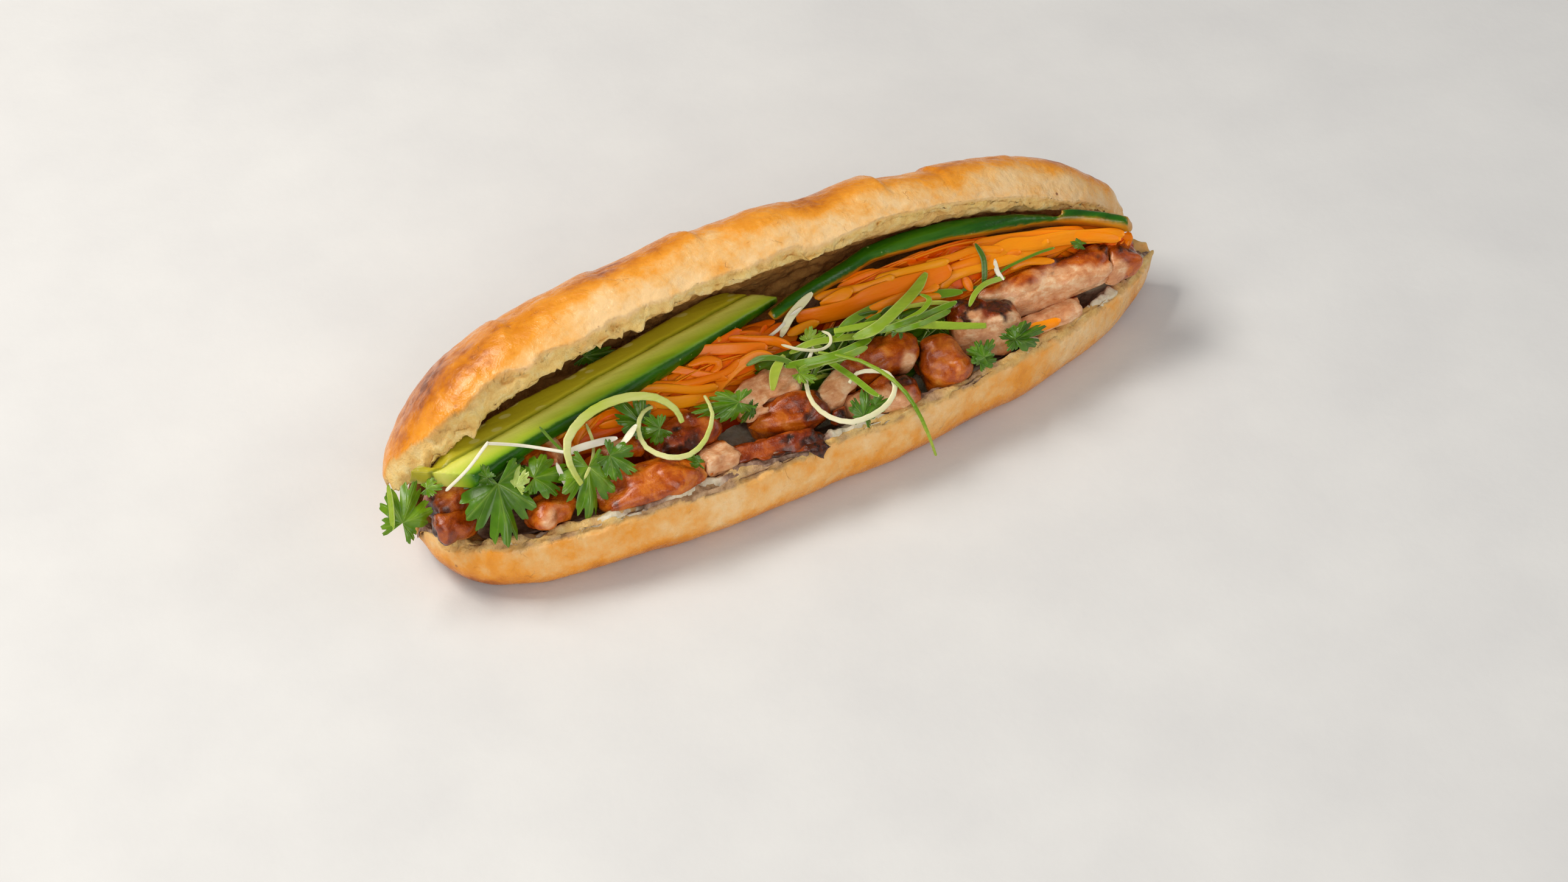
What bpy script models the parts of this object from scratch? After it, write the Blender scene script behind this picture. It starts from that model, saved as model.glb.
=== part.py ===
"""A banh mi: a split baguette, hinged along its back and standing open, filled with grilled chicken, shredded
carrot, cucumber, curled spring onion and coriander leaves. X runs along the loaf, the open side faces -Y, +Z is
up, and the whole stands on Z = 0. Lengths are in millimetres until a mesh is made, and angles in degrees."""

import math

import bmesh
import bpy
from mathutils import Euler, Matrix, Vector, noise

MM = 0.001
GAP = 0.35  # the clearance that each piece keeps from the ones it rests on
FLAT_ENOUGH = math.radians(1)

# Bottom half of the loaf: where its tips are, how wide it is, how blunt each end is, and its midline in plan.
TIP_LEFT, TIP_RIGHT = -141.0, 147.0
WIDEST_FROM, WIDEST_TO = -20.0, 20.0
HALF_WIDTH = 38.5
BLUNT_LEFT, BLUNT_RIGHT = (5.0, 0.45), (2.0, 0.6)
BLUNT_TIP = 0.02
MIDLINE = [(-143, -4), (-100, -4), (-50, -4), (20, -1.5), (80, 4.0), (125, 7.5), (148, 9)]
RIM = [(-143, 16), (-128, 21), (-100, 24), (0, 25), (90, 24), (125, 22), (148, 17)]
SQUARENESS, LID_SQUARENESS = 0.5, 0.8
BULGE = [(-143, 4), (-60, 4), (0, 1.2), (148, 0)]  # how far the front wall stands out below the rim
UNDERSIDE = [(-143, 8), (-134, 3), (-118, 0), (108, 0), (130, 3.5), (148, 11)]
CRUMB_FLOOR = 9.5
RIM_WIDTH = 5.0
HINGE_WIDTH = 8.0

# The lid: where its tips are, its width beside the bottom's, how far it is swung open, and how thick it is.
LID_LEFT, LID_RIGHT = -147.0, 138.0
LID_NARROWER = 0.80
HINGE = [(-147, 20), (-110, 26), (-50, 30), (20, 32), (80, 32), (138, 26)]
HINGE_BELOW_RIM = 1.0
OPENING = [(-147, 28), (-110, 42), (-60, 52), (0, 54.5), (50, 53), (90, 48), (138, 33)]
LID_THICKNESS = [(-147, 11), (-120, 23.5), (-60, 26.5), (0, 25.5), (60, 25), (105, 25.5), (138, 16)]
LID_HOLLOW = 5.0
LUMP, LUMP_LENGTH = 1.1, 34.0

LOAF_STATIONS = 27

SPREAD_THICKNESS = 1.5
SPREAD_LIFT = 0.6
SPREAD_LEFT, SPREAD_RIGHT = -128.0, 132.0

# Cucumber: how far each piece is turned about its length, its depth behind the skin, how wide its skin is along
# it, how much each end runs back away from the skin, and its edge line: skin against top cut.
SPEAR_BULGE = 1.2
SPEARS = [
    (
        "cucumber_left",
        4,
        15.5,
        [(-127, 7.5), (-30, 7), (-1, 4)],
        0.9,
        [(-127, -20.5, 43.5), (-98, -12.5, 45.5), (-70, -7.5, 47), (-35, 1.5, 47.5), (-1, 12, 47)],
    ),
    (
        "cucumber_right",
        -65,
        5.5,
        [(-12, 4), (22, 5.5), (48, 7), (80, 6.5), (105, 5.5), (126, 4)],
        -0.5,
        [
            (-10, 3, 49),
            (3, 6.1, 52),
            (22, 11.8, 52),
            (34, 15, 53.5),
            (48, 14, 55),
            (63, 13, 55),
            (79.5, 9.7, 54),
            (93, 9, 52),
            (105.5, 6.5, 50),
            (116, -0.5, 50),
            (126, -6.8, 48),
        ],
    ),
]

# Chicken: name, middle, size along, across and up, turn about X, Y and Z, squareness, and a seed.
CHICKEN = [
    ("big", (-70, -32, 22.5), (43, 18, 20), (16, -6, -8), 0.85, 5),
    ("charred", (-25, -35, 21.5), (40, 13, 14), (12, -4, -12), 0.85, 12),
    ("seared", (17, -28.5, 24), (28, 13, 13), (16, -4, -8), 0.75, 15),
    ("round", (43, -23.5, 25.5), (18, 20, 19), (10, 0, -5), 0.9, 17),
    ("char_top", (63, -17, 29), (26, 19, 17), (14, 8, -14), 0.7, 18),
    ("long_slice", (91, -11, 33), (54, 14, 12), (22, -4, 2), 0.6, 19),
    ("golden", (-104, -28, 24), (19, 14, 13), (6, 0, 24), 0.85, 4),
    ("tip_upper", (-131, -13, 29), (21, 16, 15), (10, -8, 20), 0.8, 1),
    ("tip_lower", (-134.5, -20, 26), (16, 12, 11), (12, 0, 10), 0.8, 2),
    ("behind_leaf", (-100, -11, 31), (20, 17, 16), (8, 0, -20), 0.75, 3),
    ("pink", (-45, -32, 22.5), (15, 14, 14), (0, 0, 30), 0.7, 9),
    ("flap", (-50, -37, 23), (10, 8, 6), (10, 14, -16), 0.8, 6),
    ("red", (-53, -20, 28), (28, 14, 15), (10, -8, -2), 0.8, 7),
    ("strip", (-74, -18.5, 31), (17, 8, 5), (10, 0, -6), 0.7, 8),
    ("glazed_front", (-16, -24, 26.5), (29, 14, 13), (14, -6, -14), 0.75, 11),
    ("flat_slice", (-20, -15.5, 31.5), (27, 15, 9), (24, -6, 12), 0.6, 10),
    ("glazed_back", (21, -15.5, 30), (31, 16, 15), (16, -6, -12), 0.8, 16),
    ("pale_band", (3, -22, 27), (18, 11, 11), (10, -6, 20), 0.75, 13),
    ("burnt_bit", (0, -30, 25), (9, 8, 9), (0, 0, 40), 0.8, 14),
    ("end", (119, -11, 33), (19, 14, 12), (10, 10, 4), 0.7, 20),
    ("under_slice", (89, -18, 25.5), (26, 13, 9), (16, 0, 4), 0.75, 21),
]
CHICKEN_LUMP = 0.16

# Carrot: each heap's ends, then its front edge, back edge and top along it.
CARROT_HEAPS = [
    (
        "carrot_left",
        (-106, 4),
        [(-106, -4), (-90, -14), (-50, -14), (-20, -12), (4, -9)],
        [(-106, 6), (-70, 14), (-20, 18), (4, 14)],
        [(-106, 33), (-80, 41), (-40, 44), (-10, 45), (4, 40)],
    ),
    (
        "carrot_right",
        (5, 129),
        [(5, -6), (30, -7), (60, -8), (100, -10), (129, -13)],
        [(5, 16), (40, 20), (80, 14), (129, -1)],
        [(5, 42), (25, 46), (60, 49), (95, 47), (118, 44), (129, 41)],
    ),
]
CARROT_LUMP = 1.6

GREENS_ENDS = (-22, 56)
GREENS_FRONT = [(-22, -13), (10, -17), (40, -16), (56, -15)]
GREENS_BACK = [(-22, -5), (10, -4), (40, -6), (56, -10)]
GREENS_TOP = [(-22, 43), (5, 47), (30, 46.5), (56, 43)]

# Spring onion: name, width, thickness, which way the flat side faces, and the route.
CURLS = [
    (
        "curl_arch",
        (3.2, 0.9),
        (0.2, -0.5, 0.85),
        [
            (-94, -31, 34),
            (-96, -27, 40),
            (-94, -21, 45),
            (-86, -16, 47.5),
            (-77, -14, 48.5),
            (-68, -14, 48),
            (-60, -16, 46),
            (-55, -20, 42),
            (-54, -23, 38),
        ],
    ),
    (
        "curl_ring",
        (2.0, 0.8),
        (0, -0.66, 0.75),
        [
            (-43, -17, 41),
            (-44, -25, 39.5),
            (-50, -32, 36.5),
            (-57, -34.5, 34.5),
            (-64, -33, 35),
            (-69, -27, 36.5),
            (-69, -21, 40),
            (-65, -16.5, 42),
            (-61, -16, 42.5),
        ],
    ),
    (
        "curl_loop",
        (2.0, 0.8),
        (0, -0.66, 0.75),
        [
            (2, -12, 45),
            (-5, -18, 42),
            (-9, -24, 38),
            (-10, -31, 35),
            (-7, -37, 32.5),
            (-1, -41, 31),
            (7, -41, 31),
            (14, -39, 32),
            (18, -36, 35),
            (18, -31, 37),
            (14, -28, 37.5),
            (9, -26, 37),
            (5, -28, 35.5),
        ],
    ),
    (
        "kinked_strand",
        (1.6, 0.7),
        (0, -0.6, 0.8),
        [(-135, -18, 38), (-127, -17, 44), (-119.5, -16.5, 50), (-106, -18.5, 46), (-97.5, -21, 42)],
    ),
    (
        "long_blade",
        (3.0, 0.8),
        (0, -0.66, 0.75),
        [(6, -15, 48), (22, -18, 47.5), (36, -21, 44), (48, -24, 41), (58, -27, 39.5)],
    ),
    (
        "hanging_strand",
        (1.6, 0.8),
        (-0.2, -0.66, 0.75),
        [(-2, -19, 45), (10, -26, 42), (18, -35, 37), (22, -42, 30), (24.5, -47, 21), (27, -49, 11)],
    ),
]

# Coriander leaves: middle, length, width, spin about the leaf's own upright, then tilt towards the front.
LEAVES = [
    ((-147.5, -16, 35.5), 18, 17, 150, 50),
    ((-121, -28, 34), 25, 22, -70, 42),
    ((-117, -16.5, 37), 19, 11, 25, 38),
    ((-102.5, -24, 36.5), 15, 7, -10, 30),
    ((-92, -32, 33), 19, 13, -110, 45),
    ((-79, -29.5, 35.5), 13, 11, -60, 40),
    ((-68, -14, 42), 15, 11, 60, 35),
    ((-39, -21, 38), 22, 10, -10, 40),
    ((6, -37, 32), 13, 11, 40, 45),
    ((54, -31, 31.5), 13, 11, 200, 45),
    ((72, -30, 32.5), 20, 9, -5, 40),
    ((105, -7, 43), 12, 8, 40, 45),
]
LEAF_THICKNESS = 0.9
LEAF_SAG = 2.5

COLOURS = {
    "bread": ((0.72, 0.43, 0.17), 0.5),
    "spread": ((0.55, 0.42, 0.36), 0.6),
    "cucumber": ((0.18, 0.38, 0.06), 0.3),
    "carrot": ((0.90, 0.30, 0.02), 0.4),
    "chicken": ((0.42, 0.17, 0.07), 0.35),
    "spring_onion": ((0.55, 0.70, 0.25), 0.35),
    "coriander": ((0.07, 0.24, 0.03), 0.45),
}


def eased(knots, x):
    """The value at x on a smooth curve through (place, value) knots, flat past the first and last."""
    if x <= knots[0][0]:
        return knots[0][1]
    for i, ((x0, y0), (x1, y1)) in enumerate(zip(knots, knots[1:])):
        if x > x1:
            continue
        before, after = knots[max(i - 1, 0)], knots[min(i + 2, len(knots) - 1)]
        slope0 = (y1 - before[1]) / (x1 - before[0])
        slope1 = (after[1] - y0) / (after[0] - x0)
        t, span = (x - x0) / (x1 - x0), x1 - x0
        return (
            (2 * t**3 - 3 * t**2 + 1) * y0
            + (t**3 - 2 * t**2 + t) * span * slope0
            + (3 * t**2 - 2 * t**3) * y1
            + (t**3 - t**2) * span * slope1
        )
    return knots[-1][1]


def eased_path(points, count):
    """Count points on a smooth curve through the given ones."""
    values = [[(i, p[axis]) for i, p in enumerate(points)] for axis in range(3)]
    return [
        Vector(eased(axis, share * (len(points) - 1)) for axis in values) for share in steps(count)
    ]


def steps(count):
    return [i / (count - 1) for i in range(count)]


def turned(angles):
    return Euler([math.radians(a) for a in angles]).to_matrix()


# --- meshes -------------------------------------------------------------------------------------------------


def as_object(name, bm):
    mesh = bpy.data.meshes.new(name)
    bmesh.ops.recalc_face_normals(bm, faces=bm.faces)
    bmesh.ops.triangulate(bm, faces=bm.faces)
    bm.to_mesh(mesh)
    bm.free()
    return bpy.data.objects.new(name, mesh)


def loft(name, rings, poke=0.0):
    """A closed mesh through rings of equal length. An end is flat, or comes to a point poke beyond its ring."""
    bm = bmesh.new()
    loops = [[bm.verts.new(p) for p in ring] for ring in rings]
    for a, b in zip(loops, loops[1:]):
        for i in range(len(a)):
            j = (i + 1) % len(a)
            bm.faces.new((a[i], a[j], b[j], b[i]))
    for end, inner in ((0, 1), (-1, -2)):
        if not poke:
            bm.faces.new(loops[end])
            continue
        middles = [sum(rings[at], Vector()) / len(rings[at]) for at in (end, inner)]
        outwards = (middles[0] - middles[1]).normalized()
        tip = bm.verts.new(middles[0] + outwards * poke)
        for i, vertex in enumerate(loops[end]):
            bm.faces.new((vertex, loops[end][(i + 1) % len(loops[end])], tip))
    return as_object(name, bm)


def evaluated_copy(obj, name):
    """The object's mesh with its modifiers applied, as a new object in the same place."""
    bpy.context.view_layer.update()
    graph = bpy.context.evaluated_depsgraph_get()
    mesh = bpy.data.meshes.new_from_object(obj.evaluated_get(graph))
    mesh.name = name
    return bpy.data.objects.new(name, mesh)


def largest_body(obj):
    """Keeps only the largest closed body of the mesh."""
    bm = bmesh.new()
    bm.from_mesh(obj.data)
    left, bodies = set(bm.verts), []
    while left:
        body, front = set(), [left.pop()]
        while front:
            vertex = front.pop()
            body.add(vertex)
            near = {edge.other_vert(vertex) for edge in vertex.link_edges} & left
            left -= near
            front.extend(near)
        bodies.append(body)
    bodies.sort(key=len, reverse=True)
    for body in bodies[1:]:
        bmesh.ops.delete(bm, geom=list(body), context="VERTS")
    bmesh.ops.dissolve_limit(bm, angle_limit=FLAT_ENOUGH, verts=bm.verts, edges=bm.edges)
    bmesh.ops.triangulate(bm, faces=bm.faces)
    bm.to_mesh(obj.data)
    bm.free()


def grown(obj):
    """A copy of the mesh, larger all round by the gap."""
    bm = bmesh.new()
    bm.from_mesh(obj.data)
    bm.normal_update()
    for vertex in bm.verts:
        vertex.co += vertex.normal * GAP * min(vertex.calc_shell_factor(), 1.4)
    return as_object("grown_" + obj.name, bm)


def box_of(obj):
    points = [v.co for v in obj.data.vertices]
    return [(min(p[axis] for p in points), max(p[axis] for p in points)) for axis in range(3)]


def boxes_meet(a, b):
    return all(p[0] < q[1] and q[0] < p[1] for p, q in zip(box_of(a), box_of(b)))


def combined(obj, other, operation):
    """The object after a Boolean with the other, as a new object of the same name. The first one is removed."""
    for each in (obj, other):
        bpy.context.scene.collection.objects.link(each)
    boolean = obj.modifiers.new("boolean", "BOOLEAN")
    boolean.operation, boolean.object, boolean.solver = operation, other, "EXACT"
    name = obj.name
    made = evaluated_copy(obj, name)
    bpy.data.objects.remove(obj)
    bpy.context.scene.collection.objects.unlink(other)
    made.name = name
    largest_body(made)
    return made


def settled(obj, cutters):
    """The piece, cut back to the gap from every neighbour that is already in place."""
    for cutter in cutters:
        if boxes_meet(obj, cutter):
            obj = combined(obj, cutter, "DIFFERENCE")
    return obj


# --- the loaf -----------------------------------------------------------------------------------------------


def half_width(x):
    """Half the loaf's width in plan, falling away towards its tips."""
    if x < WIDEST_FROM:
        u, (power, root) = (WIDEST_FROM - x) / (WIDEST_FROM - TIP_LEFT), BLUNT_LEFT
    elif x > WIDEST_TO:
        u, (power, root) = (x - WIDEST_TO) / (TIP_RIGHT - WIDEST_TO), BLUNT_RIGHT
    else:
        return HALF_WIDTH
    return HALF_WIDTH * max(1 - u**power, BLUNT_TIP) ** root


def arch(share, across, up, squareness):
    """A point on a squarish half ellipse: across runs from -1 to 1 times its size as share goes from 0 to 1."""
    c, s = -math.cos(math.pi * share), math.sin(math.pi * share)
    return math.copysign(abs(c) ** squareness, c) * across, s**squareness * up


def loaf_places():
    """Places along the loaf, closer together towards its tips."""
    shares = [(1 - math.cos(math.pi * share)) / 2 for share in steps(LOAF_STATIONS)]
    return [TIP_LEFT + (TIP_RIGHT - TIP_LEFT) * share for share in shares]


def lump(point, size=LUMP, length=LUMP_LENGTH):
    return size * noise.noise(point / length)


def trough(x):
    """The front and back edges of the hollow in the bottom half."""
    middle, width = eased(MIDLINE, x), half_width(x)
    return middle - max(width - RIM_WIDTH, 0.55 * width), middle + max(width - HINGE_WIDTH, 0.45 * width)


def floor_height(x, y):
    """The top of the crumb in the bottom half, pressed down by the filling."""
    front, back = trough(x)
    rim, under = eased(RIM, x), eased(UNDERSIDE, x)
    floor = under + min(CRUMB_FLOOR, 0.55 * (rim - under))
    off_middle = abs(2 * y - front - back) / (back - front)
    return floor + (rim - floor) * min(off_middle, 1.0) ** 3.5


def floor_points(x):
    """Points across the top of the crumb, from the hinge side to the front."""
    front, back = trough(x)
    places = [back + (front - back) * share for share in steps(9)]
    return [Vector((x, y, floor_height(x, y))) for y in places]


def bottom_section(x):
    middle, width = eased(MIDLINE, x), half_width(x)
    rim, under = eased(RIM, x), eased(UNDERSIDE, x)
    ring = []
    for share in steps(13):
        across, down = arch(share, width, rim - under + 2.0, SQUARENESS)
        point = Vector((x, middle + across, rim - down))
        point.y += lump(point) if across > 0 else -lump(point)
        point.y -= eased(BULGE, x) * max(math.cos(math.pi * share), 0) * min(down / 10, 1)
        point.z = max(point.z, under, 0.0)
        ring.append(point)
    return ring + floor_points(x)


def lid_section(x):
    """The upper half at one station, swung open about the hinge."""
    along = LID_LEFT + (LID_RIGHT - LID_LEFT) * (x - TIP_LEFT) / (TIP_RIGHT - TIP_LEFT)
    width = LID_NARROWER * half_width(x)
    middle = eased(MIDLINE, x) + half_width(x) - width
    thick, cut = eased(LID_THICKNESS, along), eased(RIM, x)
    ring = []
    for share in steps(13):
        across, up = arch(share, width, thick, LID_SQUARENESS)
        point = Vector((along, middle - across, cut + up))
        point.z += lump(point) * min(up / thick * 2, 1)
        ring.append(point)
    for share in steps(7):
        hollow = min(LID_HOLLOW, 0.3 * thick) * math.sin(math.pi * share)
        ring.append(Vector((along, middle + 0.88 * width * (2 * share - 1), cut + hollow)))
    turn = Matrix.Rotation(-math.radians(eased(OPENING, along)), 3, "X")
    hinge = Vector((along, eased(HINGE, along), eased(RIM, x) - HINGE_BELOW_RIM))
    return [turn @ (p - hinge) + hinge for p in ring]


def make_bread():
    bottom = loft("bread", [bottom_section(x) for x in loaf_places()], poke=1.0)
    lid = loft("lid", [lid_section(x) for x in loaf_places()], poke=1.0)
    bread = combined(bottom, lid, "UNION")
    bpy.data.objects.remove(lid)
    return bread


def make_spread():
    """The thin layer of pate and mayonnaise, which lies on the crumb between its steep edges."""
    rings = []
    for x in (x for x in loaf_places() if SPREAD_LEFT < x < SPREAD_RIGHT):
        lower = [p + Vector((0, 0, SPREAD_LIFT)) for p in floor_points(x)[2:-1]]
        upper = [p + Vector((0, 0, SPREAD_THICKNESS)) for p in lower]
        rings.append(lower + upper[::-1])
    return loft("spread", rings)


# --- the filling --------------------------------------------------------------------------------------------


def make_spear(name, roll, depth, skin_widths, bias, edge, stations=15):
    """A long piece of cucumber with its skin on one side."""
    rings = []
    path = eased_path(edge, stations)
    for i, point in enumerate(path):
        along = (path[min(i + 1, stations - 1)] - path[max(i - 1, 0)]).normalized()
        level = along.cross(Vector((0, 0, 1))).normalized()
        turn = Matrix.Rotation(math.radians(roll), 3, along)
        out, up = turn @ level, turn @ level.cross(along)
        width = eased(skin_widths, point.x)
        skin = [out * SPEAR_BULGE * (1 - (2 * t - 1) ** 2) - up * width * t for t in steps(5)]
        flesh = [-out * depth - up * width * t for t in (0.85, 0.0)]
        rings.append([point + p + along * bias * min(out.dot(p), 0.0) for p in skin + flesh])
    return loft(name, rings)


def make_chicken(name, middle, size, turn, squareness, seed):
    """A rough piece of meat from a cube cage, rounded, then made lumpy."""
    bm = bmesh.new()
    bmesh.ops.create_cube(bm, size=1.0)
    bmesh.ops.subdivide_edges(bm, edges=bm.edges, cuts=2, use_grid_fill=True)
    matrix, offset = turned(turn), Vector((seed * 7.3, seed * 3.1, seed * 5.7))
    for vertex in bm.verts:
        flat, round_one = vertex.co.copy(), vertex.co.normalized() * 0.5
        shape = flat.lerp(round_one, squareness)
        shape *= 1 + CHICKEN_LUMP * 2 * noise.noise(shape * 3.0 + offset)
        shape = Vector(a * b for a, b in zip(shape, size))
        vertex.co = matrix @ shape + Vector(middle)
    return as_object("chicken_" + name, bm)


def make_heap(name, ends, front, back, top, lumps, stations=12):
    """A heap of shreds on the spread, out to its uneven outline."""
    rings = []
    for share in steps(stations):
        x = ends[0] + (ends[1] - ends[0]) * share
        y0, y1, height = eased(front, x), eased(back, x), eased(top, x)
        thin = 0.35 + 0.65 * math.sin(math.pi * min(max(share, 0.04), 0.96)) ** 0.5
        lower, upper = [], []
        for t in steps(6):
            y = y0 + (y1 - y0) * (0.5 + (t - 0.5) * thin)
            base = min(floor_height(x, y) + 3.0, height - 6.0)
            crown = base + (height - base) * (0.35 + 0.65 * math.sin(math.pi * t) ** 0.5)
            spot = Vector((x, y, 0))
            lower.append(Vector((x, y, base)))
            upper.append(Vector((x, y, crown + lump(spot, lumps, 7.0))))
        rings.append(lower + upper[::-1])
    return loft(name, rings)


def make_ribbon(name, size, facing, route):
    """A flat strand that follows its route with its broad side towards facing."""
    count = 2 * len(route) - 1
    path = eased_path(route, count)
    rings = []
    for i, point in enumerate(path):
        along = (path[min(i + 1, count - 1)] - path[max(i - 1, 0)]).normalized()
        side = along.cross(Vector(facing)).normalized()
        broad = side.cross(along).normalized()
        narrow = 0.45 + 0.55 * math.sin(math.pi * min(max(i / (count - 1), 0.05), 0.95)) ** 0.5
        half, thick = side * size[0] / 2 * narrow, broad * size[1] / 2
        rings.append([point - half - thick, point + half - thick, point + half + thick, point - half + thick])
    return loft(name, rings)


def make_leaf(number, middle, length, width, spin, tilt):
    """A three-lobed leaf as a thin plate, with its tip and sides drooping."""
    matrix, rings = turned((tilt, 0, 0)) @ turned((0, 0, spin)), []
    for share in steps(9):
        lobes = 0.72 + 0.28 * math.cos(2 * math.pi * (2.4 * share + 0.45))
        half = width / 2 * lobes * math.sin(math.pi * min(0.06 + 0.9 * share, 0.97)) ** 0.6
        x, droop = (share - 0.5) * length, -LEAF_SAG * (2 * share - 1) ** 2
        ring = []
        for level in (0, LEAF_THICKNESS):
            row = [Vector((x, half * t, droop - 1.2 * abs(t) + level)) for t in (-1, 0, 1)]
            ring += row if level == 0 else row[::-1]
        rings.append([matrix @ p + Vector(middle) for p in ring])
    return loft(f"coriander_{number:02}", rings)


# --- assembly -----------------------------------------------------------------------------------------------


def make_material(name, colour, roughness):
    material = bpy.data.materials.new(name)
    material.use_nodes = True
    shader = material.node_tree.nodes["Principled BSDF"]
    shader.inputs["Base Color"].default_value = (*colour, 1)
    shader.inputs["Roughness"].default_value = roughness
    shader.inputs["Metallic"].default_value = 0.0
    return material


def clear_scene():
    for obj in list(bpy.data.objects):
        bpy.data.objects.remove(obj)


def finish_sizes(pieces):
    """Puts the origin under the middle of the whole, and goes over to metres."""
    boxes = [box_of(obj) for obj in pieces]
    low, high = ([pick(box[axis][end] for box in boxes) for axis in range(3)] for end, pick in ((0, min), (1, max)))
    shift = Vector((-(low[0] + high[0]) / 2, -(low[1] + high[1]) / 2, -low[2]))
    for obj in pieces:
        obj.data.transform(Matrix.Scale(MM, 4) @ Matrix.Translation(shift))


def main():
    clear_scene()
    pieces, cutters, slots = [], [], {}

    def place(obj, slot):
        cutter = grown(obj)
        obj = settled(obj, cutters)
        pieces.append(obj)
        cutters.append(cutter)
        slots[obj.name] = slot

    place(make_bread(), "bread")
    place(make_spread(), "spread")
    for spear in SPEARS:
        place(make_spear(*spear), "cucumber")
    for piece in CHICKEN:
        place(make_chicken(*piece), "chicken")
    for heap in CARROT_HEAPS:
        place(make_heap(*heap, CARROT_LUMP), "carrot")
    greens = make_heap("spring_onion_heap", GREENS_ENDS, GREENS_FRONT, GREENS_BACK, GREENS_TOP, 1.0)
    place(greens, "spring_onion")
    for curl in CURLS:
        place(make_ribbon(*curl), "spring_onion")
    for number, leaf in enumerate(LEAVES, 1):
        place(make_leaf(number, *leaf), "coriander")
    for cutter in cutters:
        bpy.data.objects.remove(cutter)
    finish_sizes(pieces)

    sandwich = bpy.data.collections.new("banh_mi")
    bpy.context.scene.collection.children.link(sandwich)
    materials = {slot: make_material(slot, *look) for slot, look in COLOURS.items()}
    for obj in pieces:
        sandwich.objects.link(obj)
        obj.data.materials.clear()
        obj.data.materials.append(materials[slots[obj.name]])


main()
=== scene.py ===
"""The looks of a banh mi sandwich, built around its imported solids.

The loaf, the chicken, the cucumber and the free strips of spring onion take their shape from their own solids,
remeshed finely and then given their crust, crumb, glaze and char. The heaps of carrot and spring onion become real
shreds over a smaller core, and each leaf becomes a lobed, veined coriander leaf. Lengths are in millimetres until a
mesh is made. X runs along the loaf, the open side faces -Y and +Z is up."""

import itertools
import math

import bpy
import numpy as np
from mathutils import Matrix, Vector
from mathutils.bvhtree import BVHTree


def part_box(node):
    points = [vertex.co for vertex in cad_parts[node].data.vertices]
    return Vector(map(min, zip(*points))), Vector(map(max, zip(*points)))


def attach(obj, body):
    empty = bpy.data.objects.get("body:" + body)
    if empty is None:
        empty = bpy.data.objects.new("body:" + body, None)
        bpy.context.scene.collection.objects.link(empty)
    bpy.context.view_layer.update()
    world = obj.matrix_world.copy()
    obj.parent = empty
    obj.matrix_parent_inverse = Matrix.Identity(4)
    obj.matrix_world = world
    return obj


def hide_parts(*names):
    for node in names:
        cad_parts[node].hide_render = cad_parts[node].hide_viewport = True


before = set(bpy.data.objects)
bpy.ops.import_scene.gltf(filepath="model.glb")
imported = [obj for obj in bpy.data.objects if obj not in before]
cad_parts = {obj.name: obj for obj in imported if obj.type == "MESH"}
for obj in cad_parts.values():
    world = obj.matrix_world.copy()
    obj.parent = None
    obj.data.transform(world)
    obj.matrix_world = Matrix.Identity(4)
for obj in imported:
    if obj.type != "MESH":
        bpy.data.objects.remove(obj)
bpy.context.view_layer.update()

MM = 0.001
UP = np.array((0.0, 0.0, 1.0))

loaf_low, loaf_high = (np.array(corner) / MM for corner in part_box("bread"))
HOME = np.array(((loaf_low[0] + loaf_high[0]) / 2, (loaf_low[1] + loaf_high[1]) / 2, 0.0))


def at(points):
    """Places in the frame, given as millimetres from the middle of the loaf's footprint."""
    return np.asarray(points, float) + HOME


# --- numbers over many points -------------------------------------------------------------------------------


def unit(vectors):
    lengths = np.linalg.norm(vectors, axis=-1, keepdims=True)
    return vectors / np.maximum(lengths, 1e-9)


def dot(a, b):
    return (a * b).sum(axis=-1)


def ease(low, high, values):
    """0 up to low, 1 from high on, and a smooth step between them."""
    t = np.clip((values - low) / (high - low), 0.0, 1.0)
    return t * t * (3 - 2 * t)


def hashed(cells, seed):
    """A number from 0 to 1 for each cell of a lattice."""
    mixed = (cells[:, 0] * 73856093) ^ (cells[:, 1] * 19349663)
    mixed = mixed ^ (cells[:, 2] * 83492791) ^ (seed * 40503 + 977)
    for _ in range(2):
        mixed = ((mixed ^ (mixed >> 15)) * 2246822519) & 0xFFFFFFFF
    return ((mixed ^ (mixed >> 13)) & 0xFFFFFF) / 0xFFFFFF


def noise(points, size, seed=0, octaves=1):
    """Smooth noise from about -1 to 1, with features of the given size and finer ones of half the height."""
    total, height = np.zeros(len(points)), 1.0
    for octave in range(octaves):
        q = points / size * 2**octave + 31.7 * (seed + octave)
        cell = np.floor(q).astype(np.int64)
        f = q - cell
        f = f * f * (3 - 2 * f)
        for corner in itertools.product((0, 1), repeat=3):
            share = np.prod(np.where(corner, f, 1 - f), axis=1)
            total += height * share * (2 * hashed(cell + corner, seed + octave) - 1)
        height *= 0.5
    return total


def pits(points, size, seed=0):
    """Distance to the nearest of many scattered points, about one to a cube of the given size, in cube sizes."""
    q = points / size
    base = np.floor(q).astype(np.int64)
    nearest = np.full(len(points), 9.0)
    for offset in itertools.product((-1, 0, 1), repeat=3):
        cell = base + offset
        middle = np.stack([hashed(cell, seed + 11 * axis) for axis in range(3)], axis=1)
        nearest = np.minimum(nearest, np.linalg.norm(q - cell - middle, axis=1))
    return nearest


# --- meshes as arrays ---------------------------------------------------------------------------------------


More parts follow.
